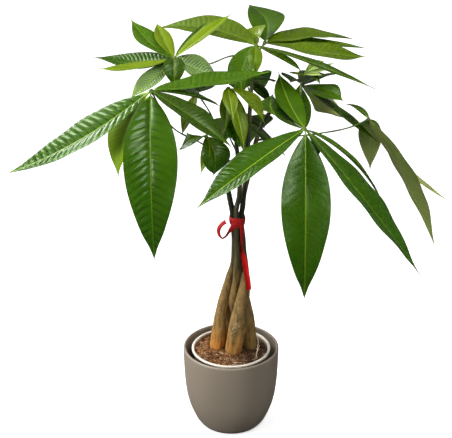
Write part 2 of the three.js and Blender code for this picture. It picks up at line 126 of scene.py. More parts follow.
# Centre line and radius of each stem from the soil to its tip, as (x, y, z, radius)
STEMS = {
    "stem_left": [
        (-24, 11, 72, 11.5), (-22.5, 10, 121, 12), (-17, 8, 176, 10), (-11.5, 8, 211, 7.9),
        (-3, 7, 248.5, 6.5), (4, 4, 279, 5.1), (5, 1, 300, 4.9), (5, 0.5, 317, 4.8), (3, -1, 353, 4.5),
        (1.5, -3, 367, 4.2), (-2.5, -8, 390.5, 4), (-6, -12, 413, 3.7), (-4, -12, 452, 3),
    ],
    "stem_back": [
        (-9, 36, 72, 8.5), (-5, 32, 137, 9.2), (0, 23, 170, 8.6), (2.9, 12.5, 195, 7.4), (4, 2.6, 215, 6.8),
        (6.3, -2.5, 238, 6.4), (8, -4.5, 252, 6), (8.4, -7, 266, 5.6), (9.3, -10.5, 285.5, 5.4),
        (9.5, -11.5, 306.5, 5.2), (8.5, -11.5, 323, 4.9), (8, -11, 357, 4.5), (7, -11, 370.5, 4),
        (11, -12, 392, 3.6), (12.5, -14, 414, 3.5), (9.5, -16, 454, 3.2), (6.5, -20, 487, 2.8),
    ],
    "stem_front": [
        (0, -4, 72, 12), (2.5, -6, 124.5, 13), (12.5, -12, 186.5, 13), (17.5, -12, 221, 10.6),
        (21, -11.5, 247, 8), (21.5, -6, 263, 6.4), (20.5, -1, 278, 5.6), (18, 0, 302.5, 5.2),
        (17, -1, 319, 5), (14.5, -2, 353.5, 4.5), (16, -3, 367, 3.8), (18, -4, 389, 3.7),
        (22, -4, 410, 3.6), (30.5, 0, 448, 3.5), (39, 5, 485.5, 3.3), (57, 25, 514, 3),
        (86.5, 38, 531.5, 2.6), (107, 38, 556.5, 2.3),
    ],
    "stem_right": [
        (31, 6, 72, 9), (30.5, 6, 127, 9.5), (27.5, 7, 176.5, 9.2), (21.5, 9, 210.5, 7.9),
        (16, 10, 245, 6.8), (13.5, 12, 275, 5.7), (12.5, 10.5, 296, 5.2), (12, 9.5, 313.5, 4.8),
        (11, 8.5, 349.5, 4.3), (16, 7.5, 362.5, 3.8), (18.5, 7.5, 384, 3.7), (20.5, 8, 405, 3.6),
        (23.5, 16, 442, 3.5), (25, 24, 470.5, 3.4), (27, 34, 506.5, 3.2), (30.5, 44, 557.5, 2.8),
        (35.5, 49, 598.5, 2.5),
    ],
}
STEM_SIDES = 72
STEM_STEP = 1.8
# Ridges along a stem: height as a share of its radius, number round it, mm of height per radian of turn
RIDGES = [(0.030, 3, 34), (0.024, 5, -27)]
# Fine ridges that come and go: the same, and mm of height per radian of coming and going
FINE_RIDGES = (0.014, 9, 15, 21)
# Knobs: height as a share of the radius, mm of height per radian, sway up and down round the stem in
# radians, number round it, and mm of height per radian of turn
KNOBS = (0.035, 11, 2, 2, 60)
# Ridges and knobs fade as the bark smooths: height where they would end, mm of fading and least share
SMOOTH_BARK = (300, 130, 0.12)
# Leaf scars: height as a share of the radius, mm between them, half height of each, then the height from
# which they grow, the mm in which they do and the least share
SCARS = (0.05, 31, 2.2, 250, 100, 0.1)
# Mm by which each radian of lag moves the scars down a stem
SCAR_LAG = 5
# Grain of the bark: height and size in mm, and its squash, which draws it out upwards where under 1
BARK_GRAIN = [(0.22, 5, 0.5), (0.12, 2.2, 1)]
# Radius in mm at which the grain is full, and its least share
GRAIN_RADIUS = 12
LEAST_GRAIN = 0.25
TIP_OVERHANG = 0.8
# Where stems swell as they press on each other: stem, height and swelling in mm
SWELLINGS = [("stem_back", 213, 1.0), ("stem_left", 214, 0.7)]
SWELLING_REACH = 15
# Height under which a stem narrows towards the soil, the mm in which it does, and by which share
FOOT_TOP = 134
FOOT_SPAN = 8
FOOT_NARROWING = 0.13
# Share of orange in the colour of each stem's foot
WARMTH = {"stem_left": 0.85, "stem_back": 0.5, "stem_front": 0.45, "stem_right": 0.0}
# Warts on the bark: stem, height, direction from the stem's middle in degrees, width and height in mm
WARTS = [
    ("stem_front", 186, -112, 3.2, 1.1), ("stem_front", 180, -98, 3.8, 1.3),
    ("stem_front", 176, -124, 3.0, 1.2), ("stem_front", 171, -106, 3.4, 1.0),
    ("stem_front", 183, -84, 2.6, 0.8), ("stem_front", 167, -128, 2.4, 0.7),
    ("stem_front", 192, -118, 2.2, 0.6), ("stem_left", 168, -70, 3.0, 0.5),
    ("stem_left", 196, -110, 2.4, 0.5), ("stem_right", 190, -60, 2.6, 0.6),
    ("stem_back", 205, -120, 2.4, 0.6), ("stem_front", 150, 60, 3.6, 1.0),
    ("stem_back", 165, 80, 3.4, 1.0), ("stem_left", 158, 170, 3.2, 0.9),
    ("stem_right", 160, 30, 3.0, 0.8),
]

# Marks a leaflet that is widest two fifths of the way along instead of half way
EARLY = "early"
# Each leaf: hub where its leaflets meet and course of its leafstalk. Each leaflet: heading, rise,
# length, width, arch, sway, roll (degrees and millimetres) and the name of its tone.
LEAVES = {
    "leaf_front_left": ((-112, -75, 580), [(-4, -12, 450), (-43, -30, 485), (-84, -60, 521)], [
        (-176, -30, 236, 66, -5, -19, -17, "bold", EARLY),
        (-152, -66, 131, 68, 12, 5, 0, "backlit"),
        (-87, -70, 235, 75, 54, 2, 0, "sleek", EARLY),
        (-26, -27, 142, 54, 10, 13, 0, "dark"),
        (32, -21, 122, 46, 6, 7, 0, "mid"),
        (25, 1, 188, 62, -4, 0, 0, "ribbed"),
    ]),
    "leaf_left": ((-83, 20, 598), [(35, 48, 593), (-2, 60, 589), (-32, 48, 581), (-63, 28, 585)], [
        (127, 17, 118, 40, -8, -2, 0, "mid"),
        (108, 17, 98, 26, 0, -2, 0, "lime"),
        (55, 22, 100, 14, 1, -1, 0, "dark"),
        (36, 26, 114, 28, 1, 2, 0, "lime"),
        (0, -24, 71, 54, -3, -2, 20, "pale"),
        (-88, -46, 48, 32, 18, 0, 0, "dark"),
        (166, -3, 125, 52, -13, 12, -13, "bold_dark"),
        (-176, -7, 109, 38, -5, -7, 0, "lime"),
        (-139, -28, 92, 36, -5, 4, -8, "pale"),
    ]),
    "leaf_top": ((36, 50, 609), [(35.5, 49, 597)], [
        (147, -1, 184, 70, 11, 8, -8, "fresh"),
        (130, 7, 50, 40, 3, 21, -27, "lime"),
        (-123, -63, 77, 46, 14, 4, 0, "mid"),
        (-96, -45, 56, 22, 12, -1, -8, "fresh"),
        (-33, -19, 83, 28, -1, -5, -7, "dark"),
        (-19, -15, 188, 18, 17, 36, 9, "dark"),
    ]),
    "leaf_top_right": ((50, 75, 606), [(34, 47, 586), (42, 62, 598)], [
        (103, 14, 121, 58, 4, 16, 0, "soft"),
        (18, -3, 145, 60, 4, -8, 0, "fresh"),
        (-1, -3, 153, 46, -2, -9, -2, "fresh"),
        (-5, -7, 152, 48, 5, 29, 9, "fresh"),
    ]),
    "leaf_front_right": ((102, -90, 529), [(29, -1, 442), (52, -45, 484), (82, -75, 516)], [
        (-89, -76, 242, 70, 40, 2, 0, "deep", EARLY),
        (27, -64, 51, 26, 2, 1, 0, "dark"),
        (-19, -49, 267, 64, 16, 26, 2, "deep"),
        (7, -46, 169, 36, 14, -1, 0, "mid"),
        (-152, -27, 194, 70, 15, -18, 0, "glossy"),
        (103, 15, 149, 38, -5, -3, 0, "ribbed"),
        (108, 5, 130, 42, -3, -22, 14, "ribbed"),
        (90, 13, 128, 36, -12, -5, -5, "dark"),
    ]),
    "leaf_right": ((201, 0, 512), [(37, 4, 478), (75, 1, 483), (124, 0, 489), (178, 0, 501)], [
        (23, -46, 213, 44, -14, -12, 14, "dull"),
        (7, -62, 242, 52, 8, -8, -22, "dull"),
        (78, -62, 116, 36, 20, -2, -4, "dull"),
        (145, 19, 47, 14, 3, 4, 0, "dark"),
    ]),
    "leaf_right_back": ((107, 70, 541), [(97, 38.5, 544), (103, 54, 546)], [
        (-41, -6, 77, 58, 2, 3, 0, "mid"),
        (-23, -32, 79, 68, -16, -11, 0, "dull"),
        (-26, -30, 148, 36, 7, 15, -9, "dark"),
        (71, -11, 162, 56, 6, 0, 0, "dark"),
        (94, -16, 156, 50, 7, 0, 13, "dark"),
    ]),
    "leaf_bud": ((106, 35, 568), [(107, 38, 555)], [
        (-8, 25, 49, 16, 1, 6, -13, "bud"),
        (157, 5, 25, 12, -1, 0, 0, "lime"),
        (-40, -16, 32, 12, 5, -1, 0, "dark"),
    ]),
    "leaf_centre": ((-5, -40, 572), [(6.5, -20, 485), (4, -27, 527)], [
        (-98, -66, 58, 20, 5, 0, 0, "young"),
        (-82, -28, 63, 22, 10, 2, 0, "young"),
        (-65, -54, 91, 25, 12, 2, 0, "young"),
        (-32, -35, 74, 44, 12, 3, -10, "young"),
    ]),
    "leaf_centre_low": ((-12, -35, 532), [(8.5, -17.5, 466), (-4, -27, 497)], [
        (-30, -59, 57, 36, 6, 7, 0, "mid"),
        (8, -39, 81, 48, 9, 14, -6, "glossy"),
    ]),
    "leaf_left_low": ((-37, -45, 502), [(-5, -12, 428), (-22, -30, 473)], [
        (-104, -56, 57, 14, 9, -6, 0, "young"),
        (-56, -70, 58, 48, 14, 0, 0, "dark"),
        (-171, -26, 42, 38, 12, -19, -12, "dark"),
    ]),
    "leaf_inner": ((-50, 0, 552), [(-5, -12, 438), (-14, -3, 470), (-31, 0, 521)], [
        (-138, -63, 66, 26, 5, -4, 0, "olive"),
        (109, -8, 68, 26, 0, 1, 3, "dark"),
        (64, -4, 56, 26, 1, -1, 0, "dark"),
    ]),
    "leaf_back": ((23, 105, 535), [(28, 36, 516), (27, 75, 529)], [
        (27, -8, 49, 30, 7, 12, -9, "dark"),
        (-22, -37, 50, 34, 2, -2, 0, "dark"),
        (75, -25, 119, 50, 12, 4, -30, "dark"),
        (95, -23, 168, 52, 12, -2, -2, "dark"),
        (130, -14, 95, 48, 6, 1, -7, "dark"),
    ]),
    "leaf_back_low": ((18, 90, 482), [(25, 23, 467), (22, 55, 478)], [
        (108, -38, 137, 52, 11, -7, 11, "dark"),
        (88, -41, 159, 56, 20, -1, 4, "dark"),
        (16, -45, 104, 46, 2, -9, 0, "dark"),
        (74, -25, 149, 52, 9, 2, 0, "dark"),
    ]),
}
# Small leaflets of the opening bud that the CAD model leaves out
OPENING = [
    (-14, 18, 47, 13, 4, 3, 38, "bud"), (4, 34, 37, 12, 3, -3, 62, "bud"), (-30, 8, 30, 10, 3, 2, 30, "bud"),
]
# Tone of a leaflet: face colour (sRGB), height of the quilting on its left and right half in mm,
# strength of its side veins (painted shade in the furrows beside them where negative, else pale veins)
# and of its pale midrib, and roughness
TONES = {
    "mid": ((64, 98, 4), 0.8, 0.8, 0.14, 0.45, 0.27),
    "deep": ((45, 78, 2), 0.15, 0.15, 0.08, 0.50, 0.30),
    "sleek": ((50, 84, 6), 1.2, 0.3, -0.6, 0.45, 0.22),
    "ribbed": ((62, 96, 4), 0.8, 0.8, 0.16, 0.75, 0.26),
    "bold": ((60, 92, 24), 1.7, 1.5, -0.8, 0.60, 0.25),
    "bold_dark": ((54, 86, 16), 1.0, 1.0, -0.6, 0.50, 0.30),
    "soft": ((56, 86, 3), 0.4, 0.4, 0.12, 0.40, 0.30),
    "dark": ((46, 70, 3), 0.7, 0.7, 0.12, 0.40, 0.28),
    "olive": ((100, 114, 8), 0.6, 0.6, 0.16, 0.40, 0.34),
    # dull: a grey-olive leaf, its face lightened as painted light shining through it
    "dull": ((160, 168, 96), 0.4, 0.4, 0.12, 0.45, 0.45),
    # backlit: face brightened as painted light shining through the leaf
    "backlit": ((128, 158, 6), 0.2, 0.2, 0.12, 0.35, 0.44),
    # pale: face whitened as a painted sheen
    "pale": ((122, 148, 88), 1.4, 1.4, -0.6, 0.60, 0.24),
    "glossy": ((44, 76, 4), 0.6, 0.6, 0.12, 0.75, 0.20),
    "fresh": ((80, 103, 2), 0.5, 0.5, 0.12, 0.40, 0.30),
    "lime": ((102, 122, 2), 0.4, 0.4, 0.12, 0.45, 0.30),
    "young": ((92, 110, 3), 1.2, 1.2, -0.35, 0.60, 0.34),
    # bud: a pale young green, lightened further as painted light against the shade it sits in
    "bud": ((186, 212, 124), 1.0, 1.0, 0.40, 0.40, 0.42),
}
# A blade: fold along its midrib, lean of its face outwards, and its own short stalk, in shares and mm
BLADE_FOLD = math.radians(12)
BLADE_LEAN = 0.6
STALK_SHARE = 0.03
STALK_END = 0.1
STALK_HALF_WIDTH = 1.15
TIP_HALF_WIDTH = 0.55
# Powers that shape the outline of a common leaflet and of one that is widest early
FOOT_FULLNESS = 0.65
TIP_DRAW = 0.65
EARLY_SHIFT = 0.756
EARLY_FULLNESS = 1.15
EARLY_DRAW = -0.15
# Drip tip: where a blade starts to narrow into it, where it is narrow, and by which share
DRIP_START = 0.82
DRIP_END = 0.96
DRIP_DEPTH = 0.25
# Columns of points across half a blade: first in mm beside the midrib, then as shares of the rest, with
# fewer on a leaflet that is at most so many mm wide
RIB_COLUMNS = np.array([0, 0.4, 0.9, 1.7])
BLADE_COLUMNS = np.array([0.09, 0.20, 0.33, 0.47, 0.62, 0.76, 0.89, 1.0])
NARROW_COLUMNS = np.array([0.2, 0.47, 0.76, 1.0])
NARROW_WIDTH = 30
# Half width in mm under which the columns beside the midrib draw together
FULL_RIB_HALF = 6
# Side veins: number, least and greatest mm between them, mm over which they lie wide apart, rows of
# points from one to the next where they lie close and where wide, slant, curve, shift of one half
# against the other, and number of the first
VEINS_PER_LEAFLET = 21
VEIN_SPACING = (4.2, 10.6)
WIDE_SPACING = 7.5
CLOSE_ROWS = 4
WIDE_ROWS = 6
VEIN_LEAN = 0.35
VEIN_CURL = 0.45
HALF_SHIFT = 0.5
FIRST_VEIN = 40
# Pillows between side veins: sharpness of the furrows, how much the pillows differ, with the radians
# from one to the next, the mm from the midrib between which they rise, and the mm from the edge over
# which they fall to a small share
PILLOW_SHARPNESS = 8
PILLOW_VARIATION = 0.22
PILLOW_JUMP = 12.9
PILLOW_RISE = (0.5, 8)
PILLOW_FALL = 4
PILLOW_AT_EDGE = 0.1
# Width of a leaflet at which its relief is full, and the least and greatest share of the relief
RELIEF_WIDTH = 50
RELIEF_RANGE = (0.35, 1.1)
# Waved edge: mm of length per radian and height in mm, each as the least and what chance adds
WAVE_LENGTH = (9, 4)
WAVE_HEIGHT = (0.5, 0.6)
# Swell of each half of a blade, as a share of the half's width
CROWN = 0.05
# Groove over the midrib, with a fine line along its middle: depth, half width, half width of the line
GROOVE = (0.4, 1.4, 0.5)
# Midrib under the blade: height at the tip, what it gains to the foot, taper and half width
RIB = (0.25, 1.1, 0.7, 1.1)
# Distance in mm of the two faces of a blade from its middle
TOP_FACE = 0.15
BACK_FACE = 0.2
# Ranges in which chance shifts the colour and the roughness of a leaflet
TONE_SHIFT = 0.14
GLOSS_SHIFT = 0.05

# Leafstalks, in mm: step, sides, radius, swelling at the foot and at the hub with its reach, slow wave
# with its number of radians, and how far the end reaches past the hub, with its radius there
STALK_STEP = 3
STALK_SIDES = 14
STALK_RADIUS = 1.15
STALK_FOOT = (1.1, 7)
STALK_KNOB = (2.2, 5)
STALK_WAVE = (0.12, 30)
STALK_OVERHANG = 1.5
STALK_END_RADIUS = 1.6
# Thickness of the bud's leafstalk, as a share of the others'
BUD_SCALE = 0.7

# Ribbon: it is curled across, so it shows narrower than its width. A curl is half the angle of that arc
# in radians, and never less than the least.
RIBBON_WIDTH = 10
RIBBON_THICKNESS = 0.3
RIBBON_STEP = 1.2
RIBBON_COLUMNS = 13
LEAST_CURL = 0.05
# Band round the stems: centre, radii, what they grow by, first angle, turn and step in degrees, curl,
# height and rise
BAND_CENTRE = (9, -1.4)
BAND_RADII = (12.0, 15.2)
BAND_GROWTH = 0.5
BAND_START = -104
BAND_TURN = 700
BAND_STEP = 20
BAND_CURL = 0.35
BAND_LOW = 350
BAND_RISE = 5
# Loose end, as (x, y, z, facing x, facing y, facing z, curl)
LOOSE_END = [
    (-9, -17, 357.5, 0.3, -0.3, 1, 0.9), (-14, -17.5, 354, -0.3, -0.4, 1, 0.9),
    (-18.5, -18, 348.5, -0.7, -0.5, 0.5, 0.9), (-20.8, -18, 341, -0.8, -0.6, 0, 0.9),
    (-19, -19, 333, -0.6, -0.5, -0.6, 0.9), (-14, -19.6, 328.5, -0.1, -0.4, -0.9, 0.9),
    (-8, -19.8, 331.5, 0.4, -0.4, -0.8, 0.9), (-3, -19.2, 338, 0.5, -0.6, -0.6, 0.7),
    (2, -18, 345, 0.1, -1, -0.3, 0.5),
]
# Tail, as (x, y, z, direction it faces in degrees from +X, curl)
TAIL = [
    (14.6, -16.2, 354, -70, 0.5), (16.8, -15.4, 349.5, -50, 1.0), (17.4, -15, 343, -40, 1.3),
    (17.6, -14.4, 334, -30, 1.35), (17.6, -14, 325, -12, 1.35), (17.8, -14, 316, 8, 1.3),
    (18.4, -14, 308, 34, 1.25), (19.3, -14.3, 299, 66, 1.1), (20.8, -15.6, 288, 84, 1.05),
    (23, -18.8, 273, 92, 1.0), (25.2, -22.6, 259, 95, 1.0), (26.4, -24.4, 245.5, 97, 1.0),
]

# Strands of pale root that stand out of the coir, as (x, y, z, radius)
ROOTS = [
    [(38, -24, 125, 0.65), (40, -21, 133, 0.6), (41.5, -17, 141, 0.5), (42.5, -13, 149, 0.4),
     (40, -9, 158, 0.3)],
    [(42, -29, 126, 0.5), (39.5, -23, 131, 0.45), (42, -17, 137, 0.4), (45, -10, 141, 0.3)],
    [(2, -40, 126, 0.5), (7, -44, 129, 0.5), (14, -43, 128.5, 0.4), (20, -38, 126, 0.35)],
]
ROOT_STEP = 1.2
ROOT_SIDES = 6
ROOT_TONE = 0.97

# Where a side vein starts to show and where it does in full, from 0 half way between two veins to 0.5 on
# one; the same for the midrib, in mm from it, and for the ribbon's edge, as shares of half its width
SIDE_VEIN = (0.43, 0.497)
MIDRIB = (1.3, 0.6)
RIBBON_EDGE = (0.86, 0.97)
# Plain colours of the materials (sRGB)
COLOURS = {
    "vein": (152, 188, 48), "underside": (104, 116, 58), "pale foot": (150, 122, 66),
    "orange foot": (212, 138, 50), "wart spots": (206, 196, 158), "bark fleck": (176, 160, 116),
    "glaze": (147, 135, 119), "plastic": (238, 230, 216), "coir painted shade": (48, 26, 18),
    "ribbon tail": (206, 18, 12),
}
# Tints over a base colour: sRGB, share of the tint where it is strongest, and the values between which
# its mask grows
TINTS = {
    "painted furrow shade": ((30, 48, 8), 1.0, 0.28, 0.46),
    "blade foot": ((120, 150, 60), 0.5, 0.08, 0.0),
    "withered tip": ((74, 62, 36), 0.6, 0.955, 0.985),
    "underside vein": ((136, 146, 96), 0.4, *SIDE_VEIN),
    "underside rib": ((150, 165, 105), 0.7, *MIDRIB),
    "fissure": ((42, 31, 16), 0.62, 0.53, 0.34),
    "bark streak": ((158, 132, 84), 0.35, 0.52, 0.70),
    "moss": ((70, 74, 30), 0.25, 0.5, 0.7),
    "wart": ((78, 60, 34), 0.35, 0.1, 0.5),
    "glaze speck": ((84, 76, 67), 0.22, 0.16, 0.06),
    "soil stain": ((112, 82, 56), 0.8, 0.1315, 0.1285),
    "ribbon painted shade": ((160, 10, 12), 1.0, 0.288, 0.312),
    "ribbon edge": ((112, 8, 10), 0.5, *RIBBON_EDGE),
}
# Ramps of colour, as (place on the ramp, sRGB)
RAMPS = {
    "leafstalk": [(0.3, (46, 66, 12)), (0.7, (86, 112, 30))],
    "bark": [
        (0.0, (158, 124, 60)), (0.045, (156, 122, 60)), (0.075, (152, 120, 60)), (0.16, (142, 112, 60)),
        (0.25, (134, 106, 54)), (0.31, (88, 76, 34)), (0.36, (62, 58, 27)), (0.44, (44, 46, 20)),
        (0.50, (28, 34, 14)), (0.66, (30, 40, 14)), (0.92, (62, 80, 28)),
    ],
    "coir": [
        (0.0, (34, 19, 11)), (0.2, (84, 49, 24)), (0.45, (152, 95, 44)), (0.7, (200, 140, 76)),
        (0.88, (236, 196, 138)), (1.0, (244, 228, 200)),
    ],
}
# Unevenness of each material's colour: scale and strength of its clouds, then of its specks
CLOUDS = {
    "leaf": (38.0, 0.24, 900.0, 0.10), "leafstalk": (60.0, 0.2, 1500.0, 0.2),
    "bark": (110.0, 0.45, 1200.0, 0.3), "glaze": (14.0, 0.06, 1400.0, 0.08),
    "plastic": (60.0, 0.04, 900.0, 0.03), "coir": (160.0, 0.3, 1300.0, 0.35),
    "ribbon": (160.0, 0.3, 1600.0, 0.12),
}
# Detail of the noises in the shader groups, and roughness of the grain's
CLOUD_DETAIL = 3
SPECK_DETAIL = 2
GRAIN_DETAIL = 4
GRAIN_ROUGHNESS = 0.6
# Fine grain of each material: scale, depth in metres and strength
GRAIN = {
    "leaf": (1400.0, 0.00008, 0.3), "leafstalk": (900.0, 0.0001, 0.4), "bark": (900.0, 0.0003, 0.5),
    "glaze": (700.0, 0.00012, 0.3), "plastic": (900.0, 0.00005, 0.3), "coir": (1100.0, 0.0006, 0.8),
}
# Bumps: strength, and depth in metres
BUMPS = {"leaf": (0.5, 0.0004), "bark": (0.9, 0.0016), "ribbon": (0.25, 0.00015)}
# Noises: scale, detail, and for some roughness and distortion
NOISES = {
    "leaf dullness": (120.0, 3), "leafstalk patches": (90.0, 3), "bark wander": (60.0, 4),
    "fissure": (300.0, 5, 0.65, 0.4), "bark streak": (150.0, 3, 0.5), "moss": (60.0, 4),
    "fleck patches": (45.0, 3), "wart spots": (420.0, 3), "bark rings": (260.0, 3, 0.6),
    "glaze dullness": (30.0, 3), "soil stain": (90.0, 4), "painted_trunk_shade": (60.0, 3),
}
# Noises that shift a value: factor, and what is added
SHIFTS = {
    "leaf dullness": (0.16, -0.08), "bark wander": (0.08, -0.04), "glaze dullness": (0.14, 0.40),
    "soil stain": (0.008, -0.004), "painted_trunk_shade": (0.02, 0.0),
}
# Scales along X, Y and Z that draw a pattern on the bark out upwards or round the stem
STRETCHES = {"upright": (1.0, 1.0, 0.16), "bark streak": (1.0, 1.0, 0.05), "bark rings": (0.25, 0.25, 1.0)}
# Cell patterns, by their scale
CELLS = {"fine net": 420.0, "bark fleck": 230.0, "glaze speck": 900.0}
# Masks without a tint of their own, as the values between which they grow, and for some from what to what
MASKS = {
    "side vein": SIDE_VEIN, "vein reach": (26.0, 5.0), "midrib": MIDRIB, "fine net": (0.12, 0.0),
    "stem foot": (0.11, 0.04, 0.0, 0.9), "fleck patches": (0.5, 0.62), "bark fleck": (0.22, 0.05, 0.0, 0.5),
    "wart spots": (0.50, 0.62, 0.0, 0.95), "bark roughness": (0.22, 0.36, 0.78, 0.5),
    "painted_trunk_shade": (-0.01, 0.045, 0.0, 0.78), "not a root": (0.94, 0.85), "ribbon edge": RIBBON_EDGE,
}
# Shares of the vein colour in veins and in the fine net, and of the underside colour
VEIN_SHARE = 0.75
NET_SHARE = 0.05
UNDERSIDE_SHARE = 0.5
# Depth of the fine net against that of the side veins, and of the rings against that of the fissures
NET_DEPTH = 0.35
RING_DEPTH = 0.6
# Factor and offset that turn the height on a stem, in metres, into the place on the bark's ramp
BARK_RAMP = (2.0, -0.24)
# Ribbon's weave: radians per mm along it, radians in half its width, and the height of its edge cord
WEAVE = (7.0, 60.0)
EDGE_CORD = 2.0
# Roughness of the finishes that have one value for it
ROUGHNESS = {
    "leafstalk": 0.42, "plastic": 0.38, "coir": 0.85, "ribbon": 0.55, "floor": 0.9, "leaf underside": 0.56,
}
# Values set on the shaders themselves
LEAF_SHADER = {
    "Specular IOR Level": 0.36, "Specular Tint": (0.74, 0.95, 0.60, 1), "Subsurface Weight": 0.35,
    "Subsurface Radius": (0.5, 1.0, 0.05), "Subsurface Scale": 0.002,
}
RIBBON_SHADER = {"Specular IOR Level": 0.25, "Sheen Weight": 0.05, "Anisotropic": 0.4}

# Softboxes: place and target in metres, size in metres and power in watts
LAMPS = {
    "top softbox": ((0.5, -0.55, 1.75), (0, 0, 0.42), 0.6, 14),
    "back softbox": ((-1.0, 0.19, 1.35), (-0.1, 0, 0.5), 0.5, 14),
    "low back softbox": ((-0.77, 0.96, 0.99), (-0.15, 0, 0.5), 0.3, 4),
    "small front softbox": ((0.194, -0.58, 0.79), (-0.11, -0.22, 0.42), 0.2, 1.4),
    "left softbox": ((-1.6, -0.9, 0.85), (0, 0, 0.3), 0.5, 27),
    "right softbox": ((1.9, -0.5, 0.45), (0, 0, 0.25), 0.6, 5),
    "low front softbox": ((0.1, -1.9, 0.2), (0, 0, 0.1), 0.8, 3),
}
# White surround, as masks over the direction: brighter behind, over the horizon, at the left and overhead
SKY = {
    "behind": (-0.1, 0.5, 0.0, 1.3), "over the horizon": (-0.15, 0.2), "left": (-0.75, -0.15, 1.0, 0.08),
    "overhead": (0.3, 1.0, 0.06, 0.22),
}
WHITE = (1, 1, 1, 1)
# Floor: mm from its middle to its sides, its colour to the camera and to the plant, and the mask of its
# glow to the camera over the metres from the pot
FLOOR_REACH = 4000
FLOOR_SEEN = (0.93, 0.93, 0.93)
FLOOR_UNSEEN = (0.06, 0.06, 0.06)
FLOOR_GLOW = (0.4, 2.4, 0.6, 1.0)
# Camera: its tilt up from looking straight down, and its lens and sensor in mm
CAMERA_PLACE = (-0.008, -1.741, 1.117)
CAMERA_TILT = math.radians(66.3)
CAMERA_LENS = 100.35
CAMERA_SENSOR = 36


def srgb(red, green, blue):
    """Linear colour from 0 to 255 sRGB values."""
    shares = [value / 255 for value in (red, green, blue)]
    return tuple(s / 12.92 if s <= 0.04045 else ((s + 0.055) / 1.055) ** 2.4 for s in shares)


# Shader helpers

def connect(tree, node, inputs):
    """Fills a node's inputs: sockets are linked, other values set, and None is left alone."""
    for key, value in inputs.items():
        if isinstance(value, bpy.types.NodeSocket):
            tree.links.new(value, node.inputs[key])
        elif value is not None:
            node.inputs[key].default_value = value


def put(tree, kind, inputs=None, **settings):
    """Adds a node, with its settings and its inputs."""
    node = tree.nodes.new(kind)
    for name, value in settings.items():
        setattr(node, name, value)
    connect(tree, node, inputs or {})
    return node


def calculate(tree, operation, first, second=0.0, third=None, clamp=False):
    inputs = {0: first, 1: second, 2: third}
    return put(tree, "ShaderNodeMath", inputs, operation=operation, use_clamp=clamp).outputs[0]


def times(tree, first, second):
    return calculate(tree, "MULTIPLY", first, second)


def plus(tree, first, second):
    return calculate(tree, "ADD", first, second)


def rgba(colour):
    """A colour of three numbers with its fourth, and anything else as it is."""
    return (*colour, 1) if isinstance(colour, tuple) and len(colour) == 3 else colour


def blend(tree, factor, first, second):
    inputs = {0: factor, 6: rgba(first), 7: rgba(second)}
    return put(tree, "ShaderNodeMix", inputs, data_type="RGBA").outputs[2]


def spread(tree, value, low, high, start=0.0, end=1.0):
    """Maps value from low..high to start..end, clamped and smooth."""
    inputs = {0: value, 1: low, 2: high, 3: start, 4: end}
    return put(tree, "ShaderNodeMapRange", inputs, interpolation_type="SMOOTHSTEP").outputs[0]


def masked(tree, value, name):
    """The named mask over a value."""
    return spread(tree, value, *MASKS[name])


def tint(tree, base, name, value, factor=None):
    """The base colour turned to the named tint as the value grows, and by the factor if there is one."""
    colour, share, low, high = TINTS[name]
    amount = spread(tree, value, low, high, 0.0, share)
    if factor is not None:
        amount = times(tree, amount, factor)
    return blend(tree, amount, base, srgb(*colour))


def paint_of(name):
    return srgb(*COLOURS[name])


def ramp(tree, value, name):
    """The colour at a value on the named ramp."""
    stops = RAMPS[name]
    node = put(tree, "ShaderNodeValToRGB", {0: value})
    band = node.color_ramp
    while len(band.elements) < len(stops):
        band.elements.new(0.5)
    for element, (place, colour) in zip(band.elements, stops):
        element.position = place
        element.color = rgba(srgb(*colour))
    return node.outputs[0]


def noise(tree, vector, scale, detail=3.0, roughness=0.55, distortion=0.0):
    inputs = {"Vector": vector, "Scale": scale, "Detail": detail, "Roughness": roughness,
              "Distortion": distortion}
    return put(tree, "ShaderNodeTexNoise", inputs).outputs[0]


def pattern(tree, vector, name):
    """The named noise at a place."""
    return noise(tree, vector, *NOISES[name])


def cells(tree, vector, name, feature="F1"):
    """The named Voronoi pattern at a place: the distance to a cell's middle or to its edge."""
    return put(tree, "ShaderNodeTexVoronoi", {"Vector": vector, "Scale": CELLS[name]},
               feature=feature).outputs["Distance"]


def component(tree, vector, axis):
    return put(tree, "ShaderNodeSeparateXYZ", {0: vector}).outputs["XYZ".index(axis)]


def scaled(tree, value, factor, offset):
    return calculate(tree, "MULTIPLY_ADD", value, factor, offset)


def magnitude(tree, value):
    return calculate(tree, "ABSOLUTE", value)


def shifting(tree, place, name):
    """The named noise as a shift of a value."""
    return scaled(tree, pattern(tree, place, name), *SHIFTS[name])


def bump(tree, height, strength, depth):
    """The surface's normal, pushed by a height."""
    return put(tree, "ShaderNodeBump", {"Strength": strength, "Distance": depth, "Height": height}).outputs[0]


def attribute(tree, name, output="Fac"):
    return put(tree, "ShaderNodeAttribute", attribute_name=name).outputs[output]


def stretched(tree, place, name):
    return put(tree, "ShaderNodeMapping", {0: place, 3: STRETCHES[name]}).outputs[0]


def both_normals(tree, first, second):
    """The normal half way between two."""
    mixed = put(tree, "ShaderNodeVectorMath", {0: first, 1: second}, operation="ADD").outputs[0]
    return put(tree, "ShaderNodeVectorMath", {0: mixed}, operation="NORMALIZE").outputs[0]


def group_tree(name, inputs, outputs):
    """An empty shader group with named sockets: (name, kind, default)."""
    tree = bpy.data.node_groups.new(name, "ShaderNodeTree")
    for label, kind, default in inputs:
        socket = tree.interface.new_socket(label, in_out="INPUT", socket_type=kind)
        if default is not None:
            socket.default_value = default
    for label, kind in outputs:
        tree.interface.new_socket(label, in_out="OUTPUT", socket_type=kind)
    return tree, tree.nodes.new("NodeGroupInput"), tree.nodes.new("NodeGroupOutput")


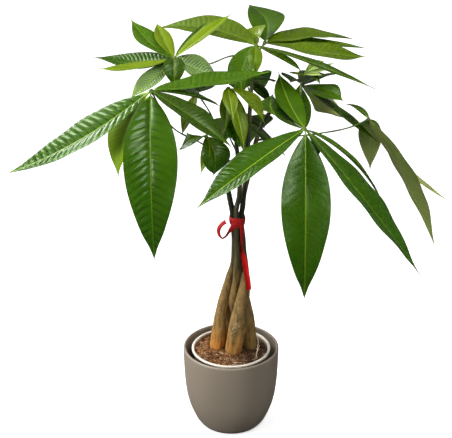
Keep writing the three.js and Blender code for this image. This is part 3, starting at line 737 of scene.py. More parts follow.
def uneven_tone_group():
    """A colour made lighter and darker in soft clouds and in fine specks."""
    tree, given, made = group_tree(
        "uneven tone",
        [("Colour", "NodeSocketColor", (0.5, 0.5, 0.5, 1)), ("Place", "NodeSocketVector", None),
         ("Cloud scale", "NodeSocketFloat", 30.0), ("Clouds", "NodeSocketFloat", 0.2),
         ("Speck scale", "NodeSocketFloat", 600.0), ("Specks", "NodeSocketFloat", 0.1)],
        [("Colour", "NodeSocketColor")],
    )
    cloud = noise(tree, given.outputs["Place"], given.outputs["Cloud scale"], CLOUD_DETAIL)
    speck = noise(tree, given.outputs["Place"], given.outputs["Speck scale"], SPECK_DETAIL)
    cloud = times(tree, calculate(tree, "SUBTRACT", cloud, 0.5), given.outputs["Clouds"])
    speck = times(tree, calculate(tree, "SUBTRACT", speck, 0.5), given.outputs["Specks"])
    level = scaled(tree, plus(tree, cloud, speck), 2.0, 1.0)
    hue = put(tree, "ShaderNodeHueSaturation", {"Value": level, "Color": given.outputs["Colour"]})
    tree.links.new(hue.outputs[0], made.inputs["Colour"])
    return tree


def fine_relief_group():
    """A normal roughened by a fine grain."""
    tree, given, made = group_tree(
        "fine relief",
        [("Place", "NodeSocketVector", None), ("Grain", "NodeSocketFloat", 500.0),
         ("Depth", "NodeSocketFloat", 0.0002), ("Strength", "NodeSocketFloat", 0.5)],
        [("Normal", "NodeSocketVector")],
    )
    grain = noise(tree, given.outputs["Place"], given.outputs["Grain"], GRAIN_DETAIL, GRAIN_ROUGHNESS)
    normal = bump(tree, grain, given.outputs["Strength"], given.outputs["Depth"])
    tree.links.new(normal, made.inputs["Normal"])
    return tree


def use_group(tree, group, inputs):
    """Places a group in a material and gives back its one output."""
    return put(tree, "ShaderNodeGroup", inputs, node_tree=group).outputs[0]


def uneven(tree, group, name, colour, place):
    """The colour with the clouds and specks of the named material."""
    cloud_scale, clouds, speck_scale, specks = CLOUDS[name]
    return use_group(tree, group, {
        "Colour": rgba(colour), "Place": place, "Cloud scale": cloud_scale, "Clouds": clouds,
        "Speck scale": speck_scale, "Specks": specks})


def grained(tree, group, name, place):
    """The normal with the fine grain of the named material."""
    grain, depth, strength = GRAIN[name]
    return use_group(tree, group, {"Place": place, "Grain": grain, "Depth": depth, "Strength": strength})


def new_material(name):
    """A material with one Principled shader, and its place on the object."""
    material = bpy.data.materials.new(name)
    material.use_nodes = True
    tree = material.node_tree
    shader = tree.nodes["Principled BSDF"]
    place = put(tree, "ShaderNodeTexCoord").outputs["Object"]
    return material, tree, shader, place


def feed(tree, shader, colour, roughness, normal=None, others=None):
    """Fills a material's shader, with any other inputs that it has."""
    main_inputs = {"Base Color": colour, "Roughness": roughness, "Normal": normal}
    connect(tree, shader, {**main_inputs, **(others or {})})


# Materials

def leaf_material(tones, relief):
    """Glossy quilted leaf: midrib and side veins, net of fine veins, duller grey-green underside."""
    material, tree, shader, place = new_material("leaf blade")
    under = attribute(tree, "underside")
    share = attribute(tree, "share")
    vein_and_painted_shade = attribute(tree, "vein_and_painted_shade")
    rib = magnitude(tree, attribute(tree, "rib_distance"))
    phase = calculate(tree, "FRACT", attribute(tree, "vein_phase"))
    from_middle = magnitude(tree, calculate(tree, "SUBTRACT", phase, 0.5))
    reach = masked(tree, rib, "vein reach")
    side_vein = times(tree, masked(tree, from_middle, "side vein"), reach)
    midrib = masked(tree, rib, "midrib")
    fine_net = masked(tree, cells(tree, place, "fine net", "DISTANCE_TO_EDGE"), "fine net")
    face = uneven(tree, tones, "leaf", attribute(tree, "leaf_colour", "Color"), place)
    vein_colour = blend(tree, VEIN_SHARE, face, paint_of("vein"))
    top = blend(tree, times(tree, fine_net, NET_SHARE), face, vein_colour)
    top = blend(tree, times(tree, side_vein, vein_and_painted_shade), top, vein_colour)
    # Painted shade: where the vein strength is negative, the furrows beside the side veins are tinted dark
    top = tint(tree, top, "painted furrow shade", from_middle, times(tree, reach, times(tree, vein_and_painted_shade, -1.0)))
    top = blend(tree, times(tree, midrib, attribute(tree, "rib_strength")), top, vein_colour)
    top = tint(tree, tint(tree, top, "blade foot", share), "withered tip", share)
    below = blend(tree, UNDERSIDE_SHARE, face, paint_of("underside"))
    below = tint(tree, below, "underside vein", from_middle, reach)
    below = tint(tree, below, "underside rib", rib)
    height = calculate(tree, "SUBTRACT", times(tree, fine_net, -NET_DEPTH), side_vein)
    up_or_down = scaled(tree, under, -2.0, 1.0)
    veined = bump(tree, times(tree, height, up_or_down), *BUMPS["leaf"])
    normal = both_normals(tree, veined, grained(tree, relief, "leaf", place))
    rough = plus(tree, attribute(tree, "gloss_roughness"), shifting(tree, place, "leaf dullness"))
    rough = calculate(tree, "MAXIMUM", rough, times(tree, under, ROUGHNESS["leaf underside"]))
    feed(tree, shader, blend(tree, under, top, below), rough, normal, LEAF_SHADER)
    return material


def stalk_material(tones, relief):
    """Smooth green leafstalk with darker patches."""
    material, tree, shader, place = new_material("leafstalk")
    base = ramp(tree, pattern(tree, place, "leafstalk patches"), "leafstalk")
    colour = uneven(tree, tones, "leafstalk", base, place)
    feed(tree, shader, colour, ROUGHNESS["leafstalk"], grained(tree, relief, "leafstalk", place))
    return material


def bark_material(tones, relief):
    """Bark that goes from tan at the soil, through brown-olive, to black-green over the ribbon."""
    material, tree, shader, place = new_material("bark")
    height = component(tree, place, "Z")
    upright = stretched(tree, place, "upright")
    wander = shifting(tree, upright, "bark wander")
    share = calculate(tree, "MULTIPLY_ADD", plus(tree, height, wander), *BARK_RAMP, clamp=True)
    foot = blend(tree, attribute(tree, "warmth"), paint_of("pale foot"), paint_of("orange foot"))
    colour = blend(tree, masked(tree, share, "stem foot"), ramp(tree, share, "bark"), foot)
    fissure = pattern(tree, upright, "fissure")
    colour = tint(tree, colour, "fissure", fissure)
    streaks = pattern(tree, stretched(tree, place, "bark streak"), "bark streak")
    colour = tint(tree, colour, "bark streak", streaks)
    colour = tint(tree, colour, "moss", pattern(tree, place, "moss"))
    patches = masked(tree, pattern(tree, place, "fleck patches"), "fleck patches")
    flecks = times(tree, masked(tree, cells(tree, place, "bark fleck"), "bark fleck"), patches)
    colour = blend(tree, flecks, colour, paint_of("bark fleck"))
    wart = attribute(tree, "wart")
    colour = tint(tree, colour, "wart", wart)
    spots = masked(tree, pattern(tree, place, "wart spots"), "wart spots")
    colour = blend(tree, times(tree, wart, spots), colour, paint_of("wart spots"))
    colour = uneven(tree, tones, "bark", colour, place)
    rings = pattern(tree, stretched(tree, place, "bark rings"), "bark rings")
    folds = bump(tree, plus(tree, fissure, times(tree, rings, RING_DEPTH)), *BUMPS["bark"])
    normal = both_normals(tree, folds, grained(tree, relief, "bark", place))
    feed(tree, shader, colour, masked(tree, height, "bark roughness"), normal)
    return material


def pot_material(tones, relief):
    """Matt taupe stoneware with a faint speckle and soft clouds in the glaze."""
    material, tree, shader, place = new_material("taupe glaze")
    colour = uneven(tree, tones, "glaze", paint_of("glaze"), place)
    colour = tint(tree, colour, "glaze speck", cells(tree, place, "glaze speck"))
    rough = shifting(tree, place, "glaze dullness")
    feed(tree, shader, colour, rough, grained(tree, relief, "glaze", place))
    return material


def liner_material(tones, relief):
    """Cream-white plastic, a little soiled where the coir meets it."""
    material, tree, shader, place = new_material("nursery pot plastic")
    height = plus(tree, component(tree, place, "Z"), shifting(tree, place, "soil stain"))
    colour = tint(tree, paint_of("plastic"), "soil stain", height)
    colour = uneven(tree, tones, "plastic", colour, place)
    feed(tree, shader, colour, ROUGHNESS["plastic"], grained(tree, relief, "plastic", place))
    return material


def coir_material(tones, relief):
    """Orange-brown coir, darker on the right as painted trunk shade, each piece in its own tone, and pale
    roots.
    """
    material, tree, shader, place = new_material("coir")
    own_tone = attribute(tree, "own_tone")
    colour = uneven(tree, tones, "coir", ramp(tree, own_tone, "coir"), place)
    # Painted shade: the coir darkens towards the right, where the trunk's shadow falls
    to_right = plus(tree, component(tree, place, "X"), shifting(tree, place, "painted_trunk_shade"))
    painted_trunk_shade = masked(tree, to_right, "painted_trunk_shade")
    painted_trunk_shade = times(tree, painted_trunk_shade, masked(tree, own_tone, "not a root"))
    colour = blend(tree, painted_trunk_shade, colour, paint_of("coir painted shade"))
    feed(tree, shader, colour, ROUGHNESS["coir"], grained(tree, relief, "coir", place))
    return material


def ribbon_material(tones):
    """Red satin ribbon with a fine weave across it and firmer edges, darker red from the band up as painted
    shade.
    """
    material, tree, shader, place = new_material("red ribbon")
    across = attribute(tree, "across")
    weave = calculate(tree, "SINE", times(tree, attribute(tree, "along"), WEAVE[0]))
    cords = calculate(tree, "SINE", times(tree, across, WEAVE[1]))
    from_middle = magnitude(tree, across)
    # Painted shade: the red darkens from the upper tail up through the band
    colour = tint(tree, paint_of("ribbon tail"), "ribbon painted shade", component(tree, place, "Z"))
    colour = uneven(tree, tones, "ribbon", colour, place)
    colour = tint(tree, colour, "ribbon edge", from_middle)
    edge = masked(tree, from_middle, "ribbon edge")
    relief = plus(tree, times(tree, weave, cords), times(tree, edge, EDGE_CORD))
    feed(tree, shader, colour, ROUGHNESS["ribbon"], bump(tree, relief, *BUMPS["ribbon"]), RIBBON_SHADER)
    return material


# Mesh helpers

def new_object(name, data):
    thing = bpy.data.objects.new(name, data)
    bpy.context.scene.collection.objects.link(thing)
    return thing


def mesh_of(name, points, quads, material, values=None, colours=None):
    """A smooth mesh from points in millimetres and quads, with named values at its points."""
    mesh = bpy.data.meshes.new(name)
    mesh.from_pydata((np.asarray(points) * MM).tolist(), [], np.asarray(quads).tolist())
    for kind, field, named in (("FLOAT", "value", values), ("FLOAT_COLOR", "color", colours)):
        for key, data in (named or {}).items():
            layer = mesh.attributes.new(key, kind, "POINT")
            layer.data.foreach_set(field, np.asarray(data, "f").ravel())
    shape = bmesh.new()
    shape.from_mesh(mesh)
    bmesh.ops.remove_doubles(shape, verts=shape.verts, dist=MERGE_DISTANCE)
    shape.to_mesh(mesh)
    shape.free()
    mesh.materials.append(material)
    mesh.shade_smooth()
    mesh.set_sharp_from_angle(angle=SHARP_ANGLE)
    return mesh


def grid_quads(rows, columns, start=0, closed=False, turn=False):
    """Quads of a grid of rows by columns of points, joined round if closed, turned over if turn."""
    last = columns if closed else columns - 1
    row, column = np.meshgrid(np.arange(rows - 1), np.arange(last), indexing="ij")
    after = (column + 1) % columns
    corners = [row * columns + column, row * columns + after, (row + 1) * columns + after,
               (row + 1) * columns + column]
    quads = np.stack([corner.ravel() for corner in corners], 1) + start
    return quads[:, ::-1] if turn else quads


def edge_loop(rows, columns):
    """Numbers of the points round the edge of a grid, in order."""
    grid = np.arange(rows * columns).reshape(rows, columns)
    return np.concatenate([grid[0], grid[1:, -1], grid[-1, -2::-1], grid[-2:0:-1, 0]])


def thin_sheet(top, below):
    """Points and quads of a sheet between two grids of points, closed round its edge."""
    rows, columns = top.shape[:2]
    count = rows * columns
    loop = edge_loop(rows, columns)
    ring = np.arange(len(loop))
    after = np.roll(ring, -1)
    rim = np.stack([loop[ring], loop[after], loop[after] + count, loop[ring] + count], 1)
    quads = [grid_quads(rows, columns, turn=True), grid_quads(rows, columns, start=count), rim]
    points = np.concatenate([top.reshape(-1, 3), below.reshape(-1, 3)])
    return points, np.concatenate(quads)


def smooth_course(points, step):
    """Points about `step` mm apart on a smooth curve through the given ones, and their travel along it."""
    known = np.asarray(points, float)
    gaps = np.linalg.norm(np.diff(known[:, :3], axis=0), axis=1)
    place = np.concatenate([[0], np.cumsum(gaps)])
    slopes = np.gradient(known, place, axis=0)
    fine = np.linspace(0, place[-1], max(4, int(place[-1] / step)))
    index = np.clip(np.searchsorted(place, fine, side="right") - 1, 0, len(gaps) - 1)
    width = gaps[index][:, None]
    t = (fine[:, None] - place[index][:, None]) / width
    start, end = known[index], known[index + 1]
    rise, fall = slopes[index] * width, slopes[index + 1] * width
    curve = (2 * t**3 - 3 * t**2 + 1) * start + (t**3 - 2 * t**2 + t) * rise
    return curve + (-2 * t**3 + 3 * t**2) * end + (t**3 - t**2) * fall, fine


def unit(vectors):
    return vectors / np.linalg.norm(vectors, axis=-1, keepdims=True)


def side_frames(course):
    """The course's direction and two directions across it, turning as little as they can."""
    along = unit(np.gradient(course, axis=0))
    across = np.zeros_like(along)
    guide = np.array([1.0, 0.0, 0.0])
    for index, direction in enumerate(along):
        guide = guide - direction * np.dot(guide, direction)
        guide = guide / np.linalg.norm(guide)
        across[index] = guide
    return along, across, np.cross(along, across)


def by_chance(amounts, chance):
    """The least amount and what chance adds to it."""
    least, more = amounts
    return least + more * chance.random()


def lumps(points, size, chance):
    """A smooth random field, mostly between -1 and 1, with lumps about `size` mm across."""
    field = np.zeros(points.shape[:-1])
    for _ in range(LUMP_WAVES):
        direction = unit(chance.normal(size=3)) * by_chance(LUMP_CLOSENESS, chance)
        field += np.sin(points @ direction * (math.pi / size) + 2 * math.pi * chance.random())
    return field / math.sqrt(LUMP_WAVES)


def turned_piece(name, outline, material):
    """A piece turned about the upright axis from an outline of (radius, height) in millimetres."""
    shape = np.asarray(outline, float)
    angles = np.linspace(0, 2 * math.pi, LATHE_SIDES, endpoint=False)
    radius, height = shape[:, :1], shape[:, 1:]
    points = np.stack([radius * np.cos(angles), radius * np.sin(angles), height + 0 * angles], 2)
    quads = grid_quads(len(shape), LATHE_SIDES, closed=True)
    return new_object(name, mesh_of(name, points.reshape(-1, 3), quads, material))


# Leaves

def eased(value, low, high):
    """A share that goes smoothly from 0 at `low` to 1 at `high`."""
    share = np.clip((value - low) / (high - low), 0, 1)
    return share**2 * (3 - 2 * share)


def outline_at(share, early):
    """Half the width of a leaflet at a share of its length, as a share of its greatest half width."""
    blade = np.clip((share - STALK_SHARE) / (1 - STALK_SHARE), 0, 1)
    drip = 1 - DRIP_DEPTH * eased(blade, DRIP_START, DRIP_END)
    half = np.sin(math.pi * blade ** (EARLY_SHIFT if early else 1))
    power = EARLY_FULLNESS + EARLY_DRAW * blade if early else FOOT_FULLNESS + TIP_DRAW * blade
    return np.maximum(half, 0) ** power * drip


def leaflet_course(hub, row, share):
    """Midrib points at shares of the length, and the directions across the blade and out of its face."""
    heading, rise, length, _, arch, sway, roll = row[:7]
    turn, lift = math.radians(heading), math.radians(rise)
    outward = np.array([math.cos(turn), math.sin(turn), 0])
    chord = outward * math.cos(lift) + np.array([0, 0, math.sin(lift)])
    face = unit(np.array([0, 0, 1]) + BLADE_LEAN * outward)
    up = unit(face - chord * face.dot(chord))
    side = np.cross(chord, up)
    start = np.array(hub, float)
    tip = start + chord * length
    bend = start + chord * length / 2 + 2 * (arch * up + sway * side)
    share = share[..., None]
    points = (1 - share) ** 2 * start + 2 * share * (1 - share) * bend + share**2 * tip
    along = unit(2 * (1 - share) * (bend - start) + 2 * share * (tip - bend))
    normal = unit(face - along * (along @ face)[..., None])
    across = np.cross(along, normal)
    angle = math.radians(roll)
    normal = normal * math.cos(angle) + across * math.sin(angle)
    return points, np.cross(along, normal), normal


def half_width(share, width, early):
    """Half the width of a leaflet and of its own short stalk at shares of its length."""
    least = np.where(share < STALK_END, STALK_HALF_WIDTH, TIP_HALF_WIDTH)
    return np.maximum(width / 2 * outline_at(share, early), least)


def blade_columns(half, width):
    """Distances from the midrib of the points across a blade, for half widths in one row or many."""
    shares = BLADE_COLUMNS if width > NARROW_WIDTH else NARROW_COLUMNS
    edge = RIB_COLUMNS[-1]
    rib = np.concatenate([RIB_COLUMNS, np.full(len(shares), edge)])
    part = np.concatenate([np.zeros(len(RIB_COLUMNS)), shares])
    rib, part = np.concatenate([-rib[:0:-1], rib]), np.concatenate([-part[:0:-1], part])
    scale = np.minimum(1, half / FULL_RIB_HALF)
    return scale * rib + (half - scale * edge) * part


def quilting(phase, away, half, chance):
    """Height of the pillows between the side veins, from 0 to about 1."""
    pillow = 1 - np.cos(math.pi * phase) ** PILLOW_SHARPNESS
    lag = GREATEST_LAG * chance.random()
    uneven_rows = 1 + PILLOW_VARIATION * np.sin(np.floor(phase) * PILLOW_JUMP + lag)
    near_edge = PILLOW_AT_EDGE + (1 - PILLOW_AT_EDGE) * eased(half - away, 0, PILLOW_FALL)
    return pillow * uneven_rows * eased(away, *PILLOW_RISE) * near_edge


def edge_wave(travel, reach, half, share, size, chance):
    """Height of the waves along a leaflet's edge."""
    length = by_chance(WAVE_LENGTH, chance)
    wave = np.sin(travel / length + GREATEST_LAG * chance.random() + np.sign(reach))
    height = by_chance(WAVE_HEIGHT, chance)
    return wave * (np.abs(reach) / half) ** 2 * height * size * np.sin(math.pi * share)


def bell(distance, width):
    """A bell from 1 at no distance down to 0, which falls to about a third at the width."""
    return np.exp(-((distance / width) ** 2))


def leaflet_parts(hub, row, chance):
    """Points, quads, values and colours of one leaflet, in rows of points that follow its side veins."""
    length, width, tone = row[2], row[3], row[7]
    early = row[8:] == (EARLY,)
    colour, left_quilt, right_quilt, vein_and_painted_shade, rib_strength, gloss = TONES[tone]
    veins = round(length / np.clip(length / VEINS_PER_LEAFLET, *VEIN_SPACING))
    rows_each = WIDE_ROWS if length / veins > WIDE_SPACING else CLOSE_ROWS
    station = np.linspace(0, 1, veins * rows_each + 1)[:, None]
    away = np.abs(blade_columns(half_width(station, width, early), width))
    lean = VEIN_LEAN * away + VEIN_CURL * away**2 / width
    share = np.minimum(station + lean / length, 1)
    half = half_width(share, width, early)
    reach = blade_columns(half, width)
    away = np.abs(reach)
    phase = station * veins + np.where(reach > 0, HALF_SHIFT, 0.0) + FIRST_VEIN
    size = np.clip(width / RELIEF_WIDTH, *RELIEF_RANGE)
    wave = edge_wave(share * length, reach, half, share, size, chance)
    crown = CROWN * half * np.sin(math.pi * away / half)
    quilt = np.where(reach > 0, left_quilt, right_quilt)
    lift = away * math.sin(BLADE_FOLD) + crown + wave + quilt * size * quilting(phase, away, half, chance)
    depth, groove_width, line_width = GROOVE
    groove = depth * (bell(away, groove_width) - bell(away, line_width))
    at_tip, gain, taper, rib_width = RIB
    rib = (at_tip + gain * size * (1 - share) ** taper) * bell(away, rib_width)
    midrib, across, normal = leaflet_course(hub, row, share)
    flat = midrib + (reach * math.cos(BLADE_FOLD))[:, :, None] * across
    top = flat + (lift - groove + TOP_FACE)[:, :, None] * normal
    below = flat + (lift - rib - BACK_FACE)[:, :, None] * normal
    points, quads = thin_sheet(top, below)
    count = reach.size
    values = {
        "vein_phase": np.tile(phase.ravel(), 2),
        "rib_distance": np.tile(reach.ravel(), 2),
        "share": np.tile(share.ravel(), 2),
        "underside": np.repeat([0.0, 1.0], count),
        "vein_and_painted_shade": np.full(2 * count, vein_and_painted_shade),
        "rib_strength": np.full(2 * count, rib_strength),
        "gloss_roughness": np.full(2 * count, gloss + GLOSS_SHIFT * (chance.random() - 0.5)),
    }
    shift = 1 + TONE_SHIFT * (chance.random() - 0.5)
    paint = np.tile([*(part * shift for part in srgb(*colour)), 1], (2 * count, 1))
    return points, quads[:, ::-1], values, paint


def leaf_blades(name, hub, rows, material, chance):
    """All the leaflets of one leaf as one mesh."""
    points, quads, values, paint = [], [], {}, []
    start = 0
    for row in rows:
        place, faces, own, colour = leaflet_parts(hub, row, chance)
        points.append(place)
        quads.append(faces + start)
        paint.append(colour)
        for key, data in own.items():
            values.setdefault(key, []).append(data)
        start += len(place)
    joined = {key: np.concatenate(parts) for key, parts in values.items()}
    mesh = mesh_of(name, np.concatenate(points), np.concatenate(quads), material, joined,
                   {"leaf_colour": np.concatenate(paint)})
    return new_object(name, mesh)


# Geometry Nodes

def geometry_tree(name, inputs):
    """An empty Geometry Nodes tree with named inputs: (name, kind, default)."""
    tree = bpy.data.node_groups.new(name, "GeometryNodeTree")
    tree.interface.new_socket("Geometry", in_out="INPUT", socket_type="NodeSocketGeometry")
    for label, kind, default in inputs:
        socket = tree.interface.new_socket(label, in_out="INPUT", socket_type=kind)
        if default is not None:
            socket.default_value = default
    tree.interface.new_socket("Geometry", in_out="OUTPUT", socket_type="NodeSocketGeometry")
    return tree, tree.nodes.new("NodeGroupInput"), tree.nodes.new("NodeGroupOutput")


def finish_tree(tree, geometry, given, made):
    """Ends a tree: copies made real, shaded smooth and given the material."""
    real = put(tree, "GeometryNodeRealizeInstances", {0: geometry})
    smooth = put(tree, "GeometryNodeSetShadeSmooth", {0: real.outputs[0]})
    painted = put(tree, "GeometryNodeSetMaterial", {
        "Geometry": smooth.outputs[0], "Material": given.outputs["Material"]})
    tree.links.new(painted.outputs[0], made.inputs[0])


def sweep_tree():
    """Sweeps a round section, whose size is the course's own radius, along a course."""
    tree, given, made = geometry_tree("round strand along its course", [
        ("Sides", "NodeSocketInt", STALK_SIDES), ("Thickness", "NodeSocketFloat", 1.0),
        ("Tone", "NodeSocketFloat", 0.5), ("Material", "NodeSocketMaterial", None)])
    circle = put(tree, "GeometryNodeCurvePrimitiveCircle", {
        "Resolution": given.outputs["Sides"], "Radius": given.outputs["Thickness"]})
    sweep = put(tree, "GeometryNodeCurveToMesh", {
        "Curve": given.outputs["Geometry"], "Profile Curve": circle.outputs[0], "Fill Caps": True,
        "Scale": put(tree, "GeometryNodeInputRadius").outputs[0]})
    named = put(tree, "GeometryNodeStoreNamedAttribute", {
        "Geometry": sweep.outputs[0], "Name": "own_tone", "Value": given.outputs["Tone"]},
        data_type="FLOAT")
    finish_tree(tree, named.outputs[0], given, made)
    return tree


def random_value(tree, low, high, seed, kind="FLOAT"):
    """A random number, or vector, for each copy."""
    first = 0 if kind == "FLOAT_VECTOR" else 2
    inputs = {first: low, first + 1: high, "Seed": seed}
    return put(tree, "FunctionNodeRandomValue", inputs, data_type=kind).outputs[first // 2]


def scatter_tree():
    """Scatters copies of one small piece over a surface, each turned, sized and toned by chance."""
    tree, given, made = geometry_tree("pieces scattered over soil", [
        ("Density", "NodeSocketFloat", 1000.0), ("Seed", "NodeSocketInt", 0),
        ("Smallest", "NodeSocketFloat", 0.6), ("Largest", "NodeSocketFloat", 1.4),
        ("Tilt", "NodeSocketFloat", 0.5), ("Darkest", "NodeSocketFloat", 0.0),
        ("Lightest", "NodeSocketFloat", 1.0), ("Piece", "NodeSocketObject", None),
        ("Material", "NodeSocketMaterial", None)])
    points = put(tree, "GeometryNodeDistributePointsOnFaces", {
        "Mesh": given.outputs["Geometry"], "Density": given.outputs["Density"],
        "Seed": given.outputs["Seed"]})
    tilt = given.outputs["Tilt"]
    back = times(tree, tilt, -1.0)
    low = put(tree, "ShaderNodeCombineXYZ", {0: back, 1: back, 2: 0.0}).outputs[0]
    high = put(tree, "ShaderNodeCombineXYZ", {0: tilt, 1: tilt, 2: 2 * math.pi}).outputs[0]
    turn = random_value(tree, low, high, given.outputs["Seed"], "FLOAT_VECTOR")
    size = random_value(tree, given.outputs["Smallest"], given.outputs["Largest"], SIZE_SEED)
    tone = random_value(tree, given.outputs["Darkest"], given.outputs["Lightest"], TONE_SEED)
    piece = put(tree, "GeometryNodeObjectInfo", {"Object": given.outputs["Piece"]})
    copies = put(tree, "GeometryNodeInstanceOnPoints", {
        "Points": points.outputs[0], "Instance": piece.outputs["Geometry"], "Rotation": turn,
        "Scale": size})
    named = put(tree, "GeometryNodeStoreNamedAttribute", {
        "Geometry": copies.outputs[0], "Name": "own_tone", "Value": tone},
        domain="INSTANCE", data_type="FLOAT")
    finish_tree(tree, named.outputs[0], given, made)
    return tree


def with_tree(source, tree, values, name):
    """A plain mesh object made by running a tree on a source object, which is then removed."""
    modifier = source.modifiers.new("shape", "NODES")
    modifier.node_group = tree
    for item in tree.interface.items_tree:
        if item.in_out == "INPUT" and item.name in values:
            modifier[item.identifier] = values[item.name]
    bpy.context.view_layer.update()
    seen = source.evaluated_get(bpy.context.evaluated_depsgraph_get())
    mesh = bpy.data.meshes.new_from_object(seen)
    mesh.name = name
    source.modifiers.remove(modifier)
    bpy.data.objects.remove(source)
    return new_object(name, mesh)


def course_object(name, courses):
    """A curve object through each course's points of (x, y, z, radius) in millimetres."""
    data = bpy.data.curves.new(name, "CURVE")
    data.dimensions = "3D"
    for points in courses:
        spline = data.splines.new("POLY")
        spline.points.add(len(points) - 1)
        for point, (x, y, z, radius) in zip(spline.points, points):
            point.co = (x * MM, y * MM, z * MM, 1)
            point.radius = radius * MM
    return new_object(name, data)


def leafstalk(name, hub, route, tree, material, thickness=1.0):
    """A leafstalk, swollen where it leaves the stem and at the hub."""
    course, travel = smooth_course([*route, hub], STALK_STEP)
    to_hub = travel[-1] - travel
    foot = STALK_FOOT[0] * np.exp(-travel / STALK_FOOT[1])
    knob = STALK_KNOB[0] * bell(to_hub, STALK_KNOB[1])
    wave = STALK_WAVE[0] * np.sin(STALK_WAVE[1] * travel / travel[-1])
    radius = thickness * (STALK_RADIUS + foot + knob + wave)
    overhang = unit(course[-1] - course[-2]) * STALK_OVERHANG * thickness
    points = [(*place, size) for place, size in zip(course, radius)]
    points.append((*(course[-1] + overhang), STALK_END_RADIUS * thickness))
    source = course_object(name, [points])
    return with_tree(source, tree, {"Sides": STALK_SIDES, "Material": material}, name)


# Stems

def wart_heights(name, course, angle, radius):
    """Height of the warts over a stem's surface at each of its points, and the share of a wart there."""
    raised = np.zeros((len(course), angle.size))
    for owner, level, direction, size, height in WARTS:
        if owner != name:
            continue
        sideways = (angle - math.radians(direction) + math.pi) % (2 * math.pi) - math.pi
        distance = np.hypot(sideways * radius, course[:, 2:3] - level)
        raised = np.maximum(raised, height * bell(distance, size) ** 2)
    return raised, np.clip(raised, 0, 1)


def stem_relief(height, angle, chance):
    """Ridges, knobs and leaf scars of a stem, as shares of its radius."""
    lag = chance.random(6) * GREATEST_LAG
    ridges = 0
    for (share, number, turn), delay in zip(RIDGES, lag):
        ridges = ridges + share * np.sin(number * angle + height / turn + delay)
    share, number, turn, fade = FINE_RIDGES
    fine = np.sin(number * angle + height / turn + lag[2]) * np.sin(height / fade + lag[3])
    ridges = ridges + share * fine
    share, rise, sway, number, turn = KNOBS
    wave = np.sin(height / rise + sway * np.sin(angle + lag[4]) + lag[5])
    knobs = share * wave * np.cos(number * angle + height / turn)
    start, span, least = SMOOTH_BARK
    low = np.clip((start - height) / span, least, 1)
    share, apart, half_height, start, span, least = SCARS
    from_scar = ((height + lag[5] * SCAR_LAG) % apart) - apart // 2
    scars = share * bell(from_scar, half_height) * np.clip((height - start) / span, least, 1)
    return (ridges + knobs) * low + scars


def stem_mesh(name, points, material, chance):
    """A stem with shallow ridges, warts, leaf scars higher up, and closed ends."""
    course, _ = smooth_course(points, STEM_STEP)
    along, across, other = side_frames(course[:, :3])
    angle = np.linspace(0, 2 * math.pi, STEM_SIDES, endpoint=False)[None, :]
    height, radius = course[:, 2:3], course[:, 3:4]
    relief = stem_relief(height, angle, chance)
    ring = across[:, None, :] * np.cos(angle)[:, :, None] + other[:, None, :] * np.sin(angle)[:, :, None]
    body = course[:, None, :3] + ring * radius[:, :, None]
    grain = sum(rise * lumps(body * (1, 1, upright), size, chance) for rise, size, upright in BARK_GRAIN)
    raised, wart = wart_heights(name, course, angle, radius)
    for owner, level, swelling in SWELLINGS:
        if owner == name:
            raised = raised + swelling * bell(height - level, SWELLING_REACH)
    foot = FOOT_NARROWING * np.clip((FOOT_TOP - height) / FOOT_SPAN, 0, 1) ** 2
    grain = grain * np.clip(radius / GRAIN_RADIUS, LEAST_GRAIN, 1)
    size = radius * (1 - foot + relief) + grain + raised
    body = course[:, None, :3] + ring * size[:, :, None]
    lowest = np.broadcast_to(course[0, :3], (1, STEM_SIDES, 3))
    tip = np.broadcast_to(course[-1, :3] + along[-1] * TIP_OVERHANG, (1, STEM_SIDES, 3))
    body = np.concatenate([lowest, body, tip])
    wart = np.concatenate([wart[:1], wart, wart[-1:]])
    quads = grid_quads(len(body), STEM_SIDES, closed=True)
    values = {"wart": wart, "warmth": np.full(wart.shape, WARMTH[name])}
    return new_object(name + "_bark", mesh_of(name, body.reshape(-1, 3), quads, material, values))


# Coir

def soil_relief(x, y):
    """Height of the coir's swells at places in mm, broad ones and finer ones."""
    per_x, lag_x, per_y, lag_y = BROAD_SWELLS
    broad = np.sin(x * per_x + lag_x) * np.cos(y * per_y - lag_y)
    per_x, per_y, other_y, other_x, lag = FINE_SWELLS
    fine = np.sin(x * per_x - y * per_y) * np.sin(y * other_y + x * other_x + lag)
    return SOIL_RELIEF * (SWELL_SHARES[0] * broad + SWELL_SHARES[1] * fine)


def soil_bed(material, chance):
    """The bed of coir under the loose chips, with a skirt down inside the nursery pot and a flat base."""
    rings = np.concatenate([np.linspace(0, 1, SOIL_RINGS), [SKIRT_SHARE, 0]])[:, None]
    angles = np.linspace(0, 2 * math.pi, SOIL_SIDES, endpoint=False)[None, :]
    x = SOIL_RADIUS * rings * np.cos(angles)
    y = SOIL_RADIUS * rings * np.sin(angles)
    z = SOIL_TOP - BED_DROP + soil_relief(x, y)
    rough = lumps(np.stack([x, y, z], 2), BED_LUMP_SIZE, chance)
    z[1:-2] += BED_LUMPS * rough[1:-2] + BED_GRAIN * chance.normal(size=x[1:-2].shape)
    z[-2:] = SOIL_LOW
    points = np.stack([x, y, z], 2).reshape(-1, 3)
    # Painted shade: the bed is kept dark for the gaps between the loose pieces
    level, by_lumps, by_grain, greatest = BED_TONE
    tone = level + by_lumps * rough.ravel() + by_grain * chance.normal(size=len(points))
    tone = np.clip(tone, 0, greatest)
    quads = grid_quads(len(rings), SOIL_SIDES, closed=True, turn=True)
    return new_object("coir_bed", mesh_of("coir_bed", points, quads, material, {"own_tone": tone}))


def top_of(bed):
    """A copy of the bed's top, without its skirt, a little inside the rim."""
    mesh = bed.data.copy()
    shape = bmesh.new()
    shape.from_mesh(mesh)
    edge = (SOIL_RADIUS - SOIL_EDGE) * MM
    half_way = (SOIL_LOW + SOIL_TOP) / 2 * MM
    outside = [corner for corner in shape.verts if corner.co.xy.length > edge or corner.co.z < half_way]
    bmesh.ops.delete(shape, geom=outside, context="VERTS")
    shape.to_mesh(mesh)
    shape.free()
    return mesh


